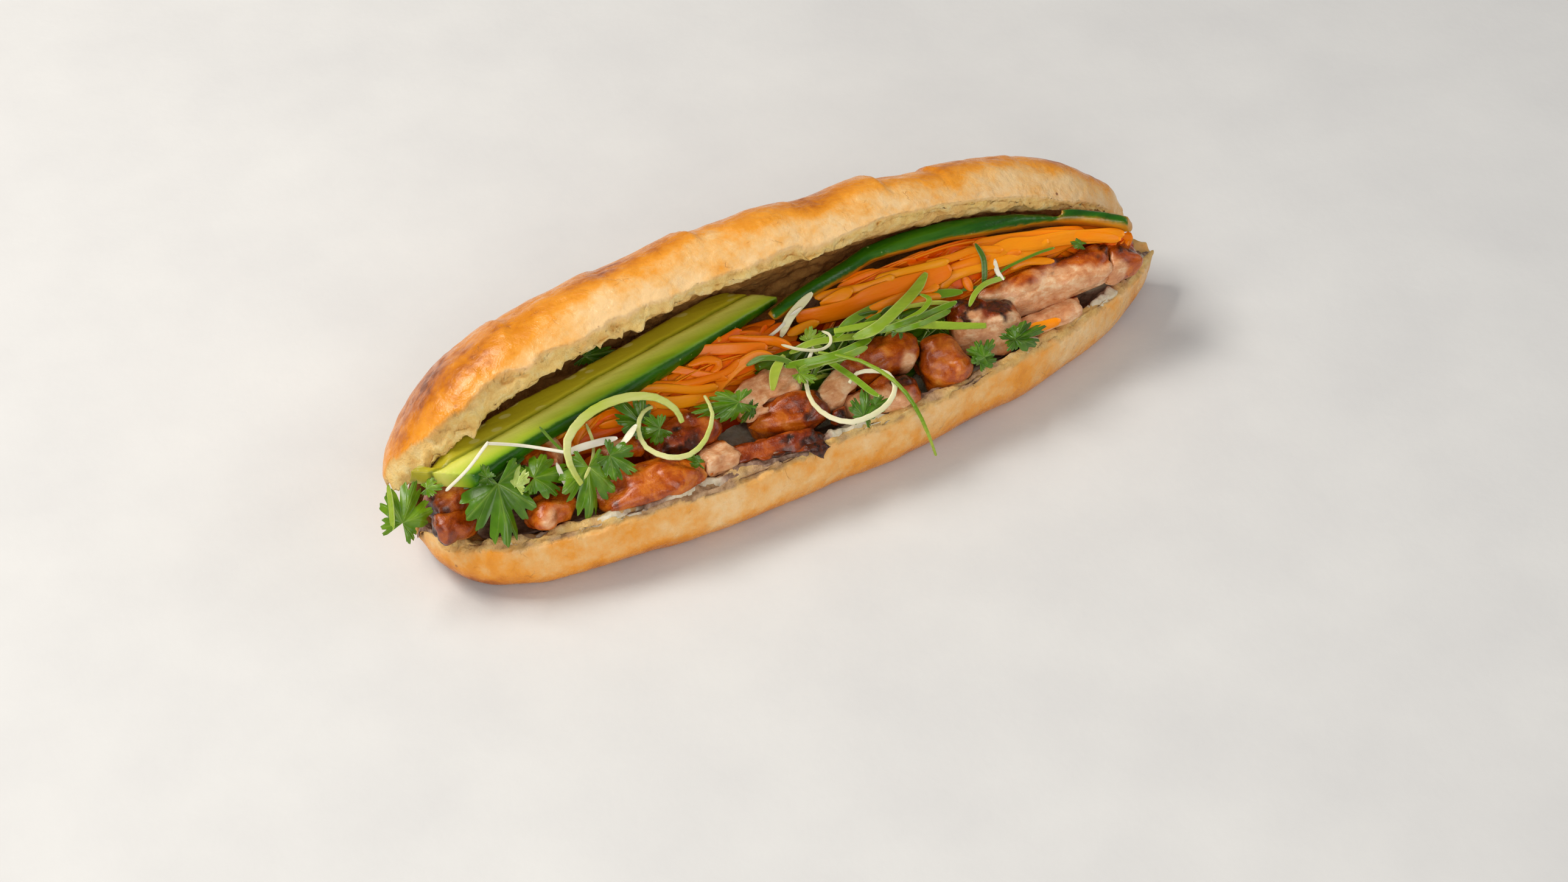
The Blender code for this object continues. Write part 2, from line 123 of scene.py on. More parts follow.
def solid_of(*nodes):
    """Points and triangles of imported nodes, as one mesh."""
    all_points, all_faces, count = [], [], 0
    for node in nodes:
        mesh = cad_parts[node].data
        mesh.calc_loop_triangles()
        points = np.empty(len(mesh.vertices) * 3)
        mesh.vertices.foreach_get("co", points)
        faces = np.empty(len(mesh.loop_triangles) * 3, np.int32)
        mesh.loop_triangles.foreach_get("vertices", faces)
        points, index = np.unique(np.round(points.reshape(-1, 3) / MM, 4), axis=0, return_inverse=True)
        all_points.append(points)
        all_faces.append(index.reshape(-1)[faces.reshape(-1, 3)] + count)
        count += len(points)
    return np.concatenate(all_points), np.concatenate(all_faces)


def new_object(name, points, faces):
    mesh = bpy.data.meshes.new(name)
    mesh.from_pydata(points * MM, [], faces)
    obj = bpy.data.objects.new(name, mesh)
    bpy.context.scene.collection.objects.link(obj)
    return obj


def remeshed(points, faces, voxel):
    """The closed mesh as even quads of the given size."""
    obj = new_object("coarse", points, faces)
    remesh = obj.modifiers.new("remesh", "REMESH")
    remesh.mode = "VOXEL"
    remesh.voxel_size = voxel * MM
    mesh = obj.evaluated_get(bpy.context.evaluated_depsgraph_get()).to_mesh()
    points = np.empty(len(mesh.vertices) * 3)
    mesh.vertices.foreach_get("co", points)
    quads = np.empty(len(mesh.loops), np.int32)
    mesh.loops.foreach_get("vertex_index", quads)
    bpy.data.objects.remove(obj)
    return points.reshape(-1, 3) / MM, quads.reshape(-1, 4)


def edges_of(quads):
    pairs = np.concatenate([quads[:, (k, (k + 1) % 4)] for k in range(4)]).astype(np.int64)
    pairs.sort(axis=1)
    size = pairs.max() + 1
    codes = np.unique(pairs[:, 0] * size + pairs[:, 1])
    return np.stack((codes // size, codes % size), axis=1)


def smoothed(values, edges, rounds, share=0.5):
    """Values at the points of a mesh, each moved towards its neighbours' mean in every round."""
    flat = values.reshape(len(values), -1).astype(float)
    ends = np.concatenate((edges[:, 0], edges[:, 1]))
    others = np.concatenate((edges[:, 1], edges[:, 0]))
    count = np.maximum(np.bincount(ends, minlength=len(flat)), 1)[:, None]
    share = np.reshape(share, (-1, 1)) if np.ndim(share) else share
    for _ in range(rounds):
        sums = [np.bincount(ends, column[others], len(flat)) for column in flat.T]
        flat = flat + share * (np.stack(sums, axis=1) / count - flat)
    return flat.reshape(values.shape)


def normals_of(points, quads):
    across = np.cross(points[quads[:, 2]] - points[quads[:, 0]], points[quads[:, 3]] - points[quads[:, 1]])
    total = np.zeros_like(points)
    for corner in range(4):
        for axis in range(3):
            total[:, axis] += np.bincount(quads[:, corner], across[:, axis], len(points))
    return unit(total)


def joined(parts):
    """Several (points, faces, values) as one."""
    points, faces, count = [], [], 0
    for part in parts:
        points.append(part[0])
        faces.append(part[1] + count)
        count += len(part[0])
    names = parts[0][2].keys()
    values = {name: np.concatenate([part[2][name] for part in parts]) for name in names}
    return np.concatenate(points), np.concatenate(faces), values


def make_piece(name, points, faces, values, material, slot, nodes=()):
    """A finished piece of the object, with numbers at its points for its material to read."""
    obj = new_object(name, points, faces)
    obj.data.shade_smooth()
    for value, numbers in values.items():
        attribute = obj.data.attributes.new(value, "FLOAT", "POINT")
        attribute.data.foreach_set("value", np.asarray(numbers, np.float32))
    obj.data.materials.append(material)
    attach(obj, "root")
    if nodes:
        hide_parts(*nodes)
    return obj


# --- materials ----------------------------------------------------------------------------------------------


def linear(colour):
    """A colour given from 0 to 255, as the shader takes it."""
    shares = [channel / 255 for channel in colour]
    return tuple(s / 12.92 if s <= 0.04045 else ((s + 0.055) / 1.055) ** 2.4 for s in shares) + (1.0,)


class Shader:
    """A material whose nodes are wired up by short calls. Feature sizes are in millimetres."""

    def __init__(self, name):
        self.material = bpy.data.materials.new(name)
        self.material.use_nodes = True
        self.tree = self.material.node_tree
        self.principled = self.tree.nodes["Principled BSDF"]
        self.place = self.tree.nodes.new("ShaderNodeTexCoord").outputs["Object"]

    def put(self, socket, value):
        if isinstance(value, bpy.types.NodeSocket):
            self.tree.links.new(value, socket)
        elif isinstance(value, tuple) and len(value) == 3:
            socket.default_value = linear(value)
        else:
            socket.default_value = value

    def attribute(self, name):
        node = self.tree.nodes.new("ShaderNodeAttribute")
        node.attribute_name = name
        return node.outputs["Fac"]

    def stretched(self, scale):
        node = self.tree.nodes.new("ShaderNodeMapping")
        self.put(node.inputs["Vector"], self.place)
        node.inputs["Scale"].default_value = scale
        return node.outputs["Vector"]

    def wobbled(self, size, reach):
        """The place, shifted by noise of the given size as far as the reach."""
        node = self.tree.nodes.new("ShaderNodeTexNoise")
        self.put(node.inputs["Vector"], self.place)
        node.inputs["Scale"].default_value = 1 / (size * MM)
        shift = self.tree.nodes.new("ShaderNodeVectorMath")
        shift.operation = "MULTIPLY_ADD"
        self.put(shift.inputs[0], node.outputs["Color"])
        shift.inputs[1].default_value = (reach * MM,) * 3
        self.put(shift.inputs[2], self.place)
        return shift.outputs[0]

    def noise(self, size, detail=3.0, roughness=0.55, distortion=0.0, place=None):
        node = self.tree.nodes.new("ShaderNodeTexNoise")
        self.put(node.inputs["Vector"], place or self.place)
        node.inputs["Scale"].default_value = 1 / (size * MM)
        node.inputs["Detail"].default_value = detail
        node.inputs["Roughness"].default_value = roughness
        node.inputs["Distortion"].default_value = distortion
        return node.outputs["Fac"]

    def cells(self, size, feature="F1", place=None):
        node = self.tree.nodes.new("ShaderNodeTexVoronoi")
        node.feature = feature
        self.put(node.inputs["Vector"], place or self.place)
        node.inputs["Scale"].default_value = 1 / (size * MM)
        return node.outputs["Distance"]

    def math(self, operation, a, b=0.0, c=0.0, clamp=False):
        node = self.tree.nodes.new("ShaderNodeMath")
        node.operation = operation
        node.use_clamp = clamp
        for socket, value in zip(node.inputs, (a, b, c)):
            self.put(socket, value)
        return node.outputs[0]

    def between(self, value, low, high, to_low=0.0, to_high=1.0):
        node = self.tree.nodes.new("ShaderNodeMapRange")
        node.interpolation_type = "SMOOTHSTEP"
        self.put(node.inputs["Value"], value)
        for name, number in (("From Min", low), ("From Max", high), ("To Min", to_low), ("To Max", to_high)):
            node.inputs[name].default_value = number
        return node.outputs["Result"]

    def mix(self, share, a, b):
        node = self.tree.nodes.new("ShaderNodeMix")
        node.data_type = "RGBA"
        self.put(node.inputs["Factor"], share)
        self.put(node.inputs[6], a)
        self.put(node.inputs[7], b)
        return node.outputs[2]

    def ramp(self, share, stops):
        node = self.tree.nodes.new("ShaderNodeValToRGB")
        self.put(node.inputs["Fac"], share)
        elements = node.color_ramp.elements
        while len(elements) < len(stops):
            elements.new(0.5)
        for element, (place, colour) in zip(elements, stops):
            element.position = place
            element.color = linear(colour)
        return node.outputs["Color"]

    def bump(self, height, depth, normal=None, strength=1.0):
        """Depth is in millimetres for a height from 0 to 1."""
        node = self.tree.nodes.new("ShaderNodeBump")
        node.inputs["Strength"].default_value = strength
        node.inputs["Distance"].default_value = depth * MM
        self.put(node.inputs["Height"], height)
        if normal:
            self.put(node.inputs["Normal"], normal)
        return node.outputs["Normal"]

    def finish(self, colour, roughness, normal=None, subsurface=0.0, radius=1.0, coat=0.0, specular=0.5):
        inputs = self.principled.inputs
        self.put(inputs["Base Color"], colour)
        self.put(inputs["Roughness"], roughness)
        inputs["Specular IOR Level"].default_value = specular
        if normal:
            self.put(inputs["Normal"], normal)
        if subsurface:
            inputs["Subsurface Weight"].default_value = subsurface
            inputs["Subsurface Radius"].default_value = (1.0, 0.6, 0.35)
            inputs["Subsurface Scale"].default_value = radius * MM
        if coat:
            inputs["Coat Weight"].default_value = coat
            inputs["Coat Roughness"].default_value = 0.2
        return self.material


def bread_material():
    """Crust from ivory through gold to brown, torn cream crumb with painted shade deeper in, and crumb stained by the
    spread.
    """
    s = Shader("bread")
    brown, crumb, stain, sallow, edge = (s.attribute(n) for n in ("brown", "crumb", "stain", "sallow", "edge"))
    mottle = s.noise(11, 6, 0.62)
    patches = s.noise(4, 5, 0.6, 0.4)
    fine = s.noise(1.3, 4, 0.6)
    baked = s.math("MULTIPLY_ADD", s.math("SUBTRACT", mottle, 0.5), 1.0, brown)
    baked = s.math("MULTIPLY_ADD", s.math("SUBTRACT", patches, 0.5), 0.45, baked, clamp=True)
    crust = s.ramp(
        baked,
        [
            (0.0, (248, 208, 150)),
            (0.2, (244, 188, 112)),
            (0.42, (242, 160, 48)),
            (0.68, (222, 134, 10)),
            (0.88, (184, 98, 4)),
            (1.0, (130, 62, 4)),
        ],
    )
    sparse = s.between(s.noise(16, 2), 0.52, 0.6)
    specks = s.between(s.cells(5.5), 0.07, 0.13, 1.0, 0.0)
    specks = s.math("MULTIPLY", specks, s.math("MULTIPLY", sparse, s.math("MULTIPLY_ADD", edge, 0.7, 0.12)))
    crust = s.mix(specks, crust, (128, 62, 30))
    cracks = s.between(s.cells(9, "DISTANCE_TO_EDGE", s.wobbled(4, 6)), 0.0, 0.03, 1.0, 0.0)
    cracks = s.math("MULTIPLY", cracks, s.between(s.noise(8, 2), 0.6, 0.7))
    crust = s.mix(s.math("MULTIPLY", cracks, 0.3), crust, (190, 126, 54))
    cream = s.ramp(patches, [(0.25, (230, 176, 92)), (0.5, (252, 212, 132)), (0.75, (255, 232, 172))])
    # Crumb away from the torn lip is painted darker and browner: painted shade inside the loaf, under the lid and
    # filling.
    crumb_painted_shade = s.ramp(patches, [(0.3, (176, 116, 48)), (0.7, (216, 160, 84))])
    cream = s.mix(edge, crumb_painted_shade, cream)
    cream = s.mix(s.math("MULTIPLY", sallow, 0.12), cream, (232, 206, 84))
    pate = s.ramp(s.noise(3, 4), [(0.35, (150, 108, 78)), (0.6, (206, 168, 134))])
    cream = s.mix(stain, cream, pate)
    colour = s.mix(crumb, crust, cream)
    wrinkles = s.noise(6, 7, 0.62, 0.8)
    blisters = s.between(s.cells(3.0, place=s.wobbled(2, 3)), 0.1, 0.6)
    pores = s.noise(1.6, 5, 0.7)
    normal = s.bump(wrinkles, 0.45)
    normal = s.bump(blisters, 0.08, normal)
    normal = s.bump(s.math("MULTIPLY", cracks, -1.0), 0.12, normal)
    normal = s.bump(s.math("MULTIPLY", pores, crumb), 0.8, normal)
    normal = s.bump(fine, 0.1, normal)
    roughness = s.math("ADD", s.between(patches, 0.35, 0.65, 0.17, 0.38), s.math("MULTIPLY", crumb, 0.45))
    return s.finish(colour, roughness, normal, subsurface=0.1, radius=2.0, specular=0.42)


def cucumber_material():
    """Dark skin with light specks, a bright rim, pale flesh, a yellow band of seeds, and an orange painted reflection
    of the carrots on the right slice's flesh.
    """
    s = Shader("cucumber")
    skin, across, painted_reflection = s.attribute("skin"), s.attribute("across"), s.attribute("painted_reflection")
    streaks = s.noise(7, 4, 0.55, 0.2, s.stretched((0.12, 1.0, 1.0)))
    wobble = s.math("ADD", across, s.math("MULTIPLY_ADD", streaks, 0.16, -0.08))
    flesh = s.ramp(
        wobble,
        [
            (0.0, (60, 120, 0)),
            (0.08, (124, 170, 16)),
            (0.22, (184, 204, 56)),
            (0.44, (222, 224, 104)),
            (0.56, (204, 204, 70)),
            (0.60, (130, 134, 10)),
            (0.66, (186, 176, 34)),
            (1.0, (166, 154, 22)),
        ],
    )
    seeds = s.between(s.cells(3.4, place=s.stretched((0.42, 1.0, 1.0))), 0.22, 0.30, 1.0, 0.0)
    seeds = s.math("MULTIPLY", seeds, s.between(across, 0.6, 0.72))
    flesh = s.mix(s.math("MULTIPLY", seeds, 0.55), flesh, (206, 200, 120))
    # Orange painted reflection and painted shade from the carrots beside the right slice, mixed into its flesh.
    flesh = s.mix(painted_reflection, flesh, s.ramp(streaks, [(0.3, (196, 112, 10)), (0.7, (226, 158, 34))]))
    green = s.ramp(streaks, [(0.3, (14, 56, 0)), (0.55, (36, 98, 2)), (0.8, (84, 144, 14))])
    specks = s.between(s.cells(5.5), 0.05, 0.09, 1.0, 0.0)
    green = s.mix(s.math("MULTIPLY", specks, 0.8), green, (150, 176, 100))
    colour = s.mix(skin, flesh, green)
    normal = s.bump(streaks, 0.5)
    normal = s.bump(s.noise(1.4, 3), 0.12, normal)
    roughness = s.math("SUBTRACT", 0.34, s.math("MULTIPLY", skin, 0.1))
    return s.finish(colour, roughness, normal, subsurface=0.15, radius=2.5)


def carrot_material():
    s = Shader("carrot")
    tone, across = s.attribute("tone"), s.attribute("across")
    grain = s.noise(2.5, 4, 0.6, 0.0, s.stretched((0.2, 1.0, 1.0)))
    # Tone 0, the darkest orange, is painted shade: the core that shows between the shreds takes it.
    colour = s.ramp(
        s.math("ADD", tone, s.math("MULTIPLY_ADD", grain, 0.3, -0.15)),
        [(0.0, (184, 52, 0)), (0.3, (250, 104, 0)), (0.65, (255, 134, 0)), (1.0, (255, 164, 8))],
    )
    edge = s.between(across, 0.75, 1.0)
    colour = s.mix(s.math("MULTIPLY", edge, 0.35), colour, (255, 178, 44))
    return s.finish(colour, 0.34, s.bump(grain, 0.25), subsurface=0.08, radius=1.0, specular=0.3)


def green_material():
    """Spring onion, from white through pale green to deep green by its tone."""
    s = Shader("spring_onion")
    tone, across = s.attribute("tone"), s.attribute("across")
    lines = s.noise(1.1, 2, 0.5, 0.0, s.stretched((0.15, 1.0, 1.0)))
    shade = s.math("ADD", tone, s.math("MULTIPLY_ADD", lines, 0.12, -0.06))
    colour = s.ramp(
        shade,
        [
            (0.0, (248, 240, 222)),
            (0.2, (238, 232, 184)),
            (0.45, (190, 206, 70)),
            (0.7, (112, 154, 6)),
            (1.0, (36, 78, 0)),
        ],
    )
    colour = s.mix(s.math("MULTIPLY", s.between(across, 0.6, 1.0), 0.3), colour, (226, 226, 160))
    return s.finish(colour, 0.3, s.bump(lines, 0.12), subsurface=0.2, radius=1.5)


def leaf_material():
    s = Shader("coriander")
    vein, tone = s.attribute("vein"), s.attribute("tone")
    patches = s.noise(4, 3)
    shade = s.math("ADD", tone, s.math("MULTIPLY_ADD", patches, 0.5, -0.25))
    colour = s.ramp(
        shade,
        [(0.0, (30, 66, 0)), (0.4, (80, 126, 2)), (0.7, (128, 164, 20)), (1.0, (186, 204, 110))],
    )
    colour = s.mix(s.math("MULTIPLY", vein, 0.22), colour, (176, 200, 90))
    normal = s.bump(s.math("MULTIPLY_ADD", patches, 0.5, s.math("MULTIPLY", vein, -0.5)), 0.35)
    return s.finish(colour, 0.34, normal, subsurface=0.15, radius=1.0)


def chicken_material():
    """Pale cut meat, amber glaze and black char, with streaky fibres."""
    s = Shader("chicken")
    pale, char, red = s.attribute("pale"), s.attribute("char"), s.attribute("red")
    mottle = s.noise(5.5, 5, 0.6, 0.4)
    fibres = s.noise(1.5, 4, 0.6, 0.8, s.stretched((0.45, 1.0, 1.0)))
    glaze = s.ramp(
        mottle,
        [(0.28, (122, 42, 0)), (0.45, (182, 78, 2)), (0.6, (212, 112, 14)), (0.75, (232, 152, 56))],
    )
    deep = s.ramp(mottle, [(0.3, (78, 18, 0)), (0.5, (140, 48, 0)), (0.7, (192, 90, 8))])
    streaks = s.math("ADD", s.math("MULTIPLY", mottle, 0.65), s.math("MULTIPLY", fibres, 0.35))
    meat = s.ramp(streaks, [(0.35, (200, 124, 74)), (0.5, (230, 168, 118)), (0.62, (246, 208, 164))])
    colour = s.mix(red, glaze, deep)
    colour = s.mix(pale, colour, meat)
    burnt = s.ramp(s.noise(1.8, 4), [(0.35, (24, 7, 1)), (0.62, (88, 32, 4))])
    colour = s.mix(char, colour, burnt)
    normal = s.bump(fibres, 0.25)
    normal = s.bump(s.noise(0.9, 4, 0.6), 0.2, normal)
    roughness = s.between(mottle, 0.35, 0.65, 0.16, 0.36)
    return s.finish(colour, roughness, normal, subsurface=0.08, radius=1.2, coat=0.3, specular=0.4)


def spread_material():
    s = Shader("spread")
    white = s.attribute("white")
    lumps = s.noise(2.4, 5, 0.6)
    pate = s.ramp(lumps, [(0.3, (104, 74, 58)), (0.5, (146, 112, 92)), (0.72, (184, 152, 128))])
    mayonnaise = s.ramp(lumps, [(0.3, (214, 196, 160)), (0.7, (240, 232, 210))])
    colour = s.mix(white, pate, mayonnaise)
    return s.finish(colour, 0.42, s.bump(lumps, 0.6), subsurface=0.1, radius=1.5)


def floor_material():
    s = Shader("floor")
    colour = s.ramp(s.noise(60, 4), [(0.3, (222, 222, 222)), (0.7, (230, 230, 229))])
    return s.finish(colour, 0.7, s.bump(s.noise(3, 3), 0.1), specular=0.2)


# --- the loaf -----------------------------------------------------------------------------------------------

LOAF_VOXEL = 1.05
# Along the loaf, from its middle: the hinge's depth and height, how far the lid stands open, where the front is,
# and how wide a strip of crumb shows along the lid's torn lip.
ALONG = (-147, -130, -110, -85, -50, 0, 50, 90, 120, 148)
HINGE_DEPTH = (19, 22, 25, 27, 29, 31, 31, 30.5, 28, 24)
HINGE_HEIGHT = (15, 19, 22, 23, 24, 24, 24, 23, 21, 16)
OPENING = (28, 35, 42, 47, 52.5, 54.5, 53, 48, 40, 28)
FRONT = (-6, -25, -40, -43, -44, -41, -34, -26, -16, 6)
TORN_WIDTH = (9, 10.5, 10, 5.5, 2.8, 2.4, 2.2, 2.0, 1.8, 1.2)
# Where the crust overlaps across the crown, from the loaf's middle, and by how much.
CROWN_STEPS = ((-98, 1.2), (-62, 0.8), (-27, 1.8), (12, 0.8), (46, 2.0), (66, -1.4), (100, 0.6))


def along_loaf(x, numbers):
    return np.interp(x - HOME[0], ALONG, numbers)


def loaf_frame(points):
    """For each point: where the hinge is, whether it is on the lid, which way its half's crust domes, and the
    middle of the mouth."""
    x = points[:, 0]
    opening = np.radians(along_loaf(x, OPENING))
    hinge = np.stack((x, along_loaf(x, HINGE_DEPTH) + HOME[1], along_loaf(x, HINGE_HEIGHT)), axis=1)
    rise = np.arctan2(points[:, 2] - hinge[:, 2], hinge[:, 1] - points[:, 1])
    behind = points[:, 1] > hinge[:, 1]
    lid = np.where(behind, points[:, 2] > hinge[:, 2], rise > opening / 2)
    zero = np.zeros(len(x))
    dome_lid = np.stack((zero, np.sin(opening), np.cos(opening)), axis=1)
    dome = np.where(lid[:, None], dome_lid, -UP)
    reach = 0.52 * (hinge[:, 1] - along_loaf(x, FRONT) - HOME[1])
    half = opening / 2
    mouth = hinge + np.stack((zero, -np.cos(half) * reach, np.sin(half) * reach), axis=1)
    return hinge, lid, dome, mouth


def to_edge(points, hinge, border):
    """For each point, how far in its cross-section it lies from the outer edge of a half: the border of its crumb
    that is furthest from the hinge."""
    slices = np.floor(points[:, 0] / 2).astype(int)
    slices -= slices.min()
    reach = np.linalg.norm((points - hinge)[:, 1:], axis=1) * (0.01 + border)
    order = np.argsort(reach)
    furthest = np.zeros(slices.max() + 1, int)
    furthest[slices[order]] = order
    edge = points[furthest, 1:]
    kernel = np.ones(5) / 5
    edge = np.stack([np.convolve(np.pad(column, 2, "edge"), kernel, "valid") for column in edge.T], axis=1)
    return np.linalg.norm(points[:, 1:] - edge[slices], axis=1)


def crown_steps(x, crown):
    """Overlaps across the crown, where the crust tore as it rose."""
    total = np.zeros(len(x))
    for place, height in CROWN_STEPS:
        behind = (place + HOME[0] - x) / 30
        slope = np.where((behind > 0) & (behind < 1), (1 - behind) ** 1.5, 0)
        total += height * crown * slope * ease(0, 0.1, behind)
    return total


def shape_loaf():
    points, quads = remeshed(*solid_of("bread"), LOAF_VOXEL)
    edges = edges_of(quads)
    rough = smoothed(points, edges, 6)
    normals = smoothed(normals_of(rough, quads), edges, 3)
    hinge, lid, dome, mouth = loaf_frame(rough)
    crumb = ease(0.02, 0.25, dot(normals, unit(mouth - rough)))
    crumb = smoothed(crumb, edges, 3)
    points = smoothed(points, edges, 4)
    points = smoothed(points, edges, 60, 0.5 * (1 - ease(0.02, 0.2, crumb)))
    normals = normals_of(points, quads)
    border = np.abs(crumb - 0.5) < 0.35
    from_lip = np.where(lid, to_edge(points, hinge, border & lid), to_edge(points, hinge, border & ~lid))
    outwards = points - hinge
    outwards[:, 0] = 0
    outwards = unit(outwards)

    width = along_loaf(points[:, 0], TORN_WIDTH) * lid + 2.4 * ~lid
    width = width * (1 + 0.35 * noise(points, 11, 21, 2)) + 0.7 * noise(points, 2.6, 22, 2)
    torn = ease(0.5, -0.5, from_lip - width)
    torn_deep = ease(0.0, 4.0, width) * torn
    crumb = np.maximum(crumb, torn)
    crown = ease(0.3, 0.95, dot(normals, dome)) * lid
    ends = ease(104, 146, np.abs(points[:, 0] - HOME[0]))

    folds = (1 - np.abs(noise(points * (0.7, 1, 1), 7, 15, 2))) ** 6
    crust_relief = 0.9 * noise(points, 26, 3) + 0.36 * noise(points, 9, 4)
    crust_relief += 0.1 * noise(points, 3.4, 5, 2)
    crust_relief -= 0.2 * folds
    crust_relief += crown_steps(points[:, 0] + 4 * noise(points, 15, 8), crown)
    crust_relief += 0.5 * ease(2.5, 0.0, np.abs(from_lip - width)) * (1 - torn) * lid
    holes = 1 - ease(0.2, 0.55, pits(points * (0.6, 1, 1), 6.5, 6))
    pores = 1 - ease(0.15, 0.5, pits(points, 3.0, 7))
    crumb_relief = 0.7 * noise(points, 5, 9, 3) - 2.2 * holes - 0.9 * pores - 0.9 * torn_deep
    calm = ease(148, 128, np.abs(points[:, 0] - HOME[0]))
    shifted = points + normals * (crust_relief * (1 - crumb) + crumb_relief * crumb * calm)[:, None]

    ends_clear = ease(140, 122, np.abs(points[:, 0] - HOME[0]))
    near_lip = np.exp(-((from_lip / 2.6) ** 2)) * ends_clear
    flaps = np.maximum(noise(points * (1, 0.3, 0.3), 6, 12, 3) + 0.15, 0) ** 1.3 * 3.6
    flaps += np.maximum(noise(points * (1, 0.3, 0.3), 2.2, 13, 2), 0) * 1.4
    right = ease(15, 45, points[:, 0] - HOME[0])
    flaps *= np.where(lid, 1 - 0.8 * right, 0.25)
    shifted += dome * (3.0 * right * ends_clear * lid * np.exp(-((from_lip / 7) ** 2)))[:, None]
    shifted -= dome * (near_lip * flaps - 0.6 * near_lip)[:, None]
    shifted -= outwards * (np.maximum(width - from_lip, 0) * 0.4 * lid)[:, None]
    shifted[:, 2] = np.maximum(shifted[:, 2], 0.05)

    side = dot(normals, dome)
    uneven = noise(points, 24, 20, 3)
    brown = 0.12 + 0.55 * ease(0.25, 0.95, side + 0.12 * uneven) * lid + 0.12 * uneven
    brown += 0.3 * ends * ease(-0.4, 0.5, side) * np.where(points[:, 0] < HOME[0], 1.0, 0.5)
    brown += (0.45 * ease(-0.1, 0.75, side + 0.15 * uneven) + 0.1) * ~lid
    rim = ease(0.5, 0.9, crumb) * ~lid * ease(17, 22, points[:, 2])
    stain = rim * ease(-0.35, 0.45, noise(points, 9, 30, 3)) * 0.85 * ends_clear
    sallow = ease(9, 1, from_lip) * lid * crumb * ease(-0.3, 0.5, noise(points, 12, 31, 2))
    values = {
        "brown": np.clip(brown, 0, 0.86),
        "crumb": crumb,
        "stain": stain,
        "sallow": sallow,
        # edge: nearness to the torn lip; the crumb away from it gets painted shade, and brown specks gather near it.
        "edge": ease(16, 5, from_lip) * np.where(lid, 1.0, 0.7),
    }
    return {"points": shifted, "quads": quads, "values": values, "lid": lid, "normals": normals}


def only(keep, points, quads, values):
    """The kept quads, with just the points that they use."""
    used, index = np.unique(quads[keep], return_inverse=True)
    return points[used], index.reshape(-1, 4), {name: numbers[used] for name, numbers in values.items()}


def make_loaf():
    loaf = shape_loaf()
    material = bread_material()
    on_lid = loaf["lid"][loaf["quads"][:, 0]]
    for name, keep in (("loaf_lid", on_lid), ("loaf_bottom", ~on_lid)):
        half = only(keep, loaf["points"], loaf["quads"], loaf["values"])
        make_piece(name, *half, material, "bread", ["bread"])
    return loaf


# --- the filling --------------------------------------------------------------------------------------------


def make_cucumbers():
    material = cucumber_material()
    # Last number: how much orange painted reflection of the carrots the flesh takes; it also widens the right slice's
    # skin.
    for node, skin_facing, painted_reflection_share in (("cucumber_left", (0, -1, 0), 0.0), ("cucumber_right", (0, -0.42, 0.9), 0.9)):
        points, quads = remeshed(*solid_of(node), 0.75)
        edges = edges_of(quads)
        points = smoothed(points, edges, 6)
        normals = normals_of(points, quads)
        facing = dot(normals, np.array(skin_facing))
        wide = 0.3 if painted_reflection_share else 0.0
        skin = smoothed(ease(0.62 - wide, 0.8 - wide, facing) * ease(0.5, 0.3, np.abs(normals[:, 0])), edges, 1)
        depth = points @ -unit(np.array(skin_facing, float))
        slices = np.floor(points[:, 0] / 2).astype(int)
        slices -= slices.min()
        front = np.full(slices.max() + 1, np.inf)
        np.minimum.at(front, slices, depth)
        places = points[:, 0].min() + 2 * np.arange(len(front)) + 1
        middle = slice(8, -8)
        fitted = np.polyfit(places[middle], front[middle], 2)
        across = np.clip((depth - np.polyval(fitted, points[:, 0])) / 15.5, 0, 1)
        relief = 0.25 * noise(points * (0.2, 1, 1), 5, 40, 2) * (1 - skin) + 0.12 * noise(points, 6, 41)
        groove = np.exp(-(((across - 0.6) / 0.03) ** 2)) * (1 - skin)
        points = points + normals * (relief - 0.7 * groove)[:, None]
        values = {"skin": skin, "across": across, "painted_reflection": np.full(len(points), painted_reflection_share)}
        make_piece(node + "_slice", points, quads, values, material, "cucumber", [node])


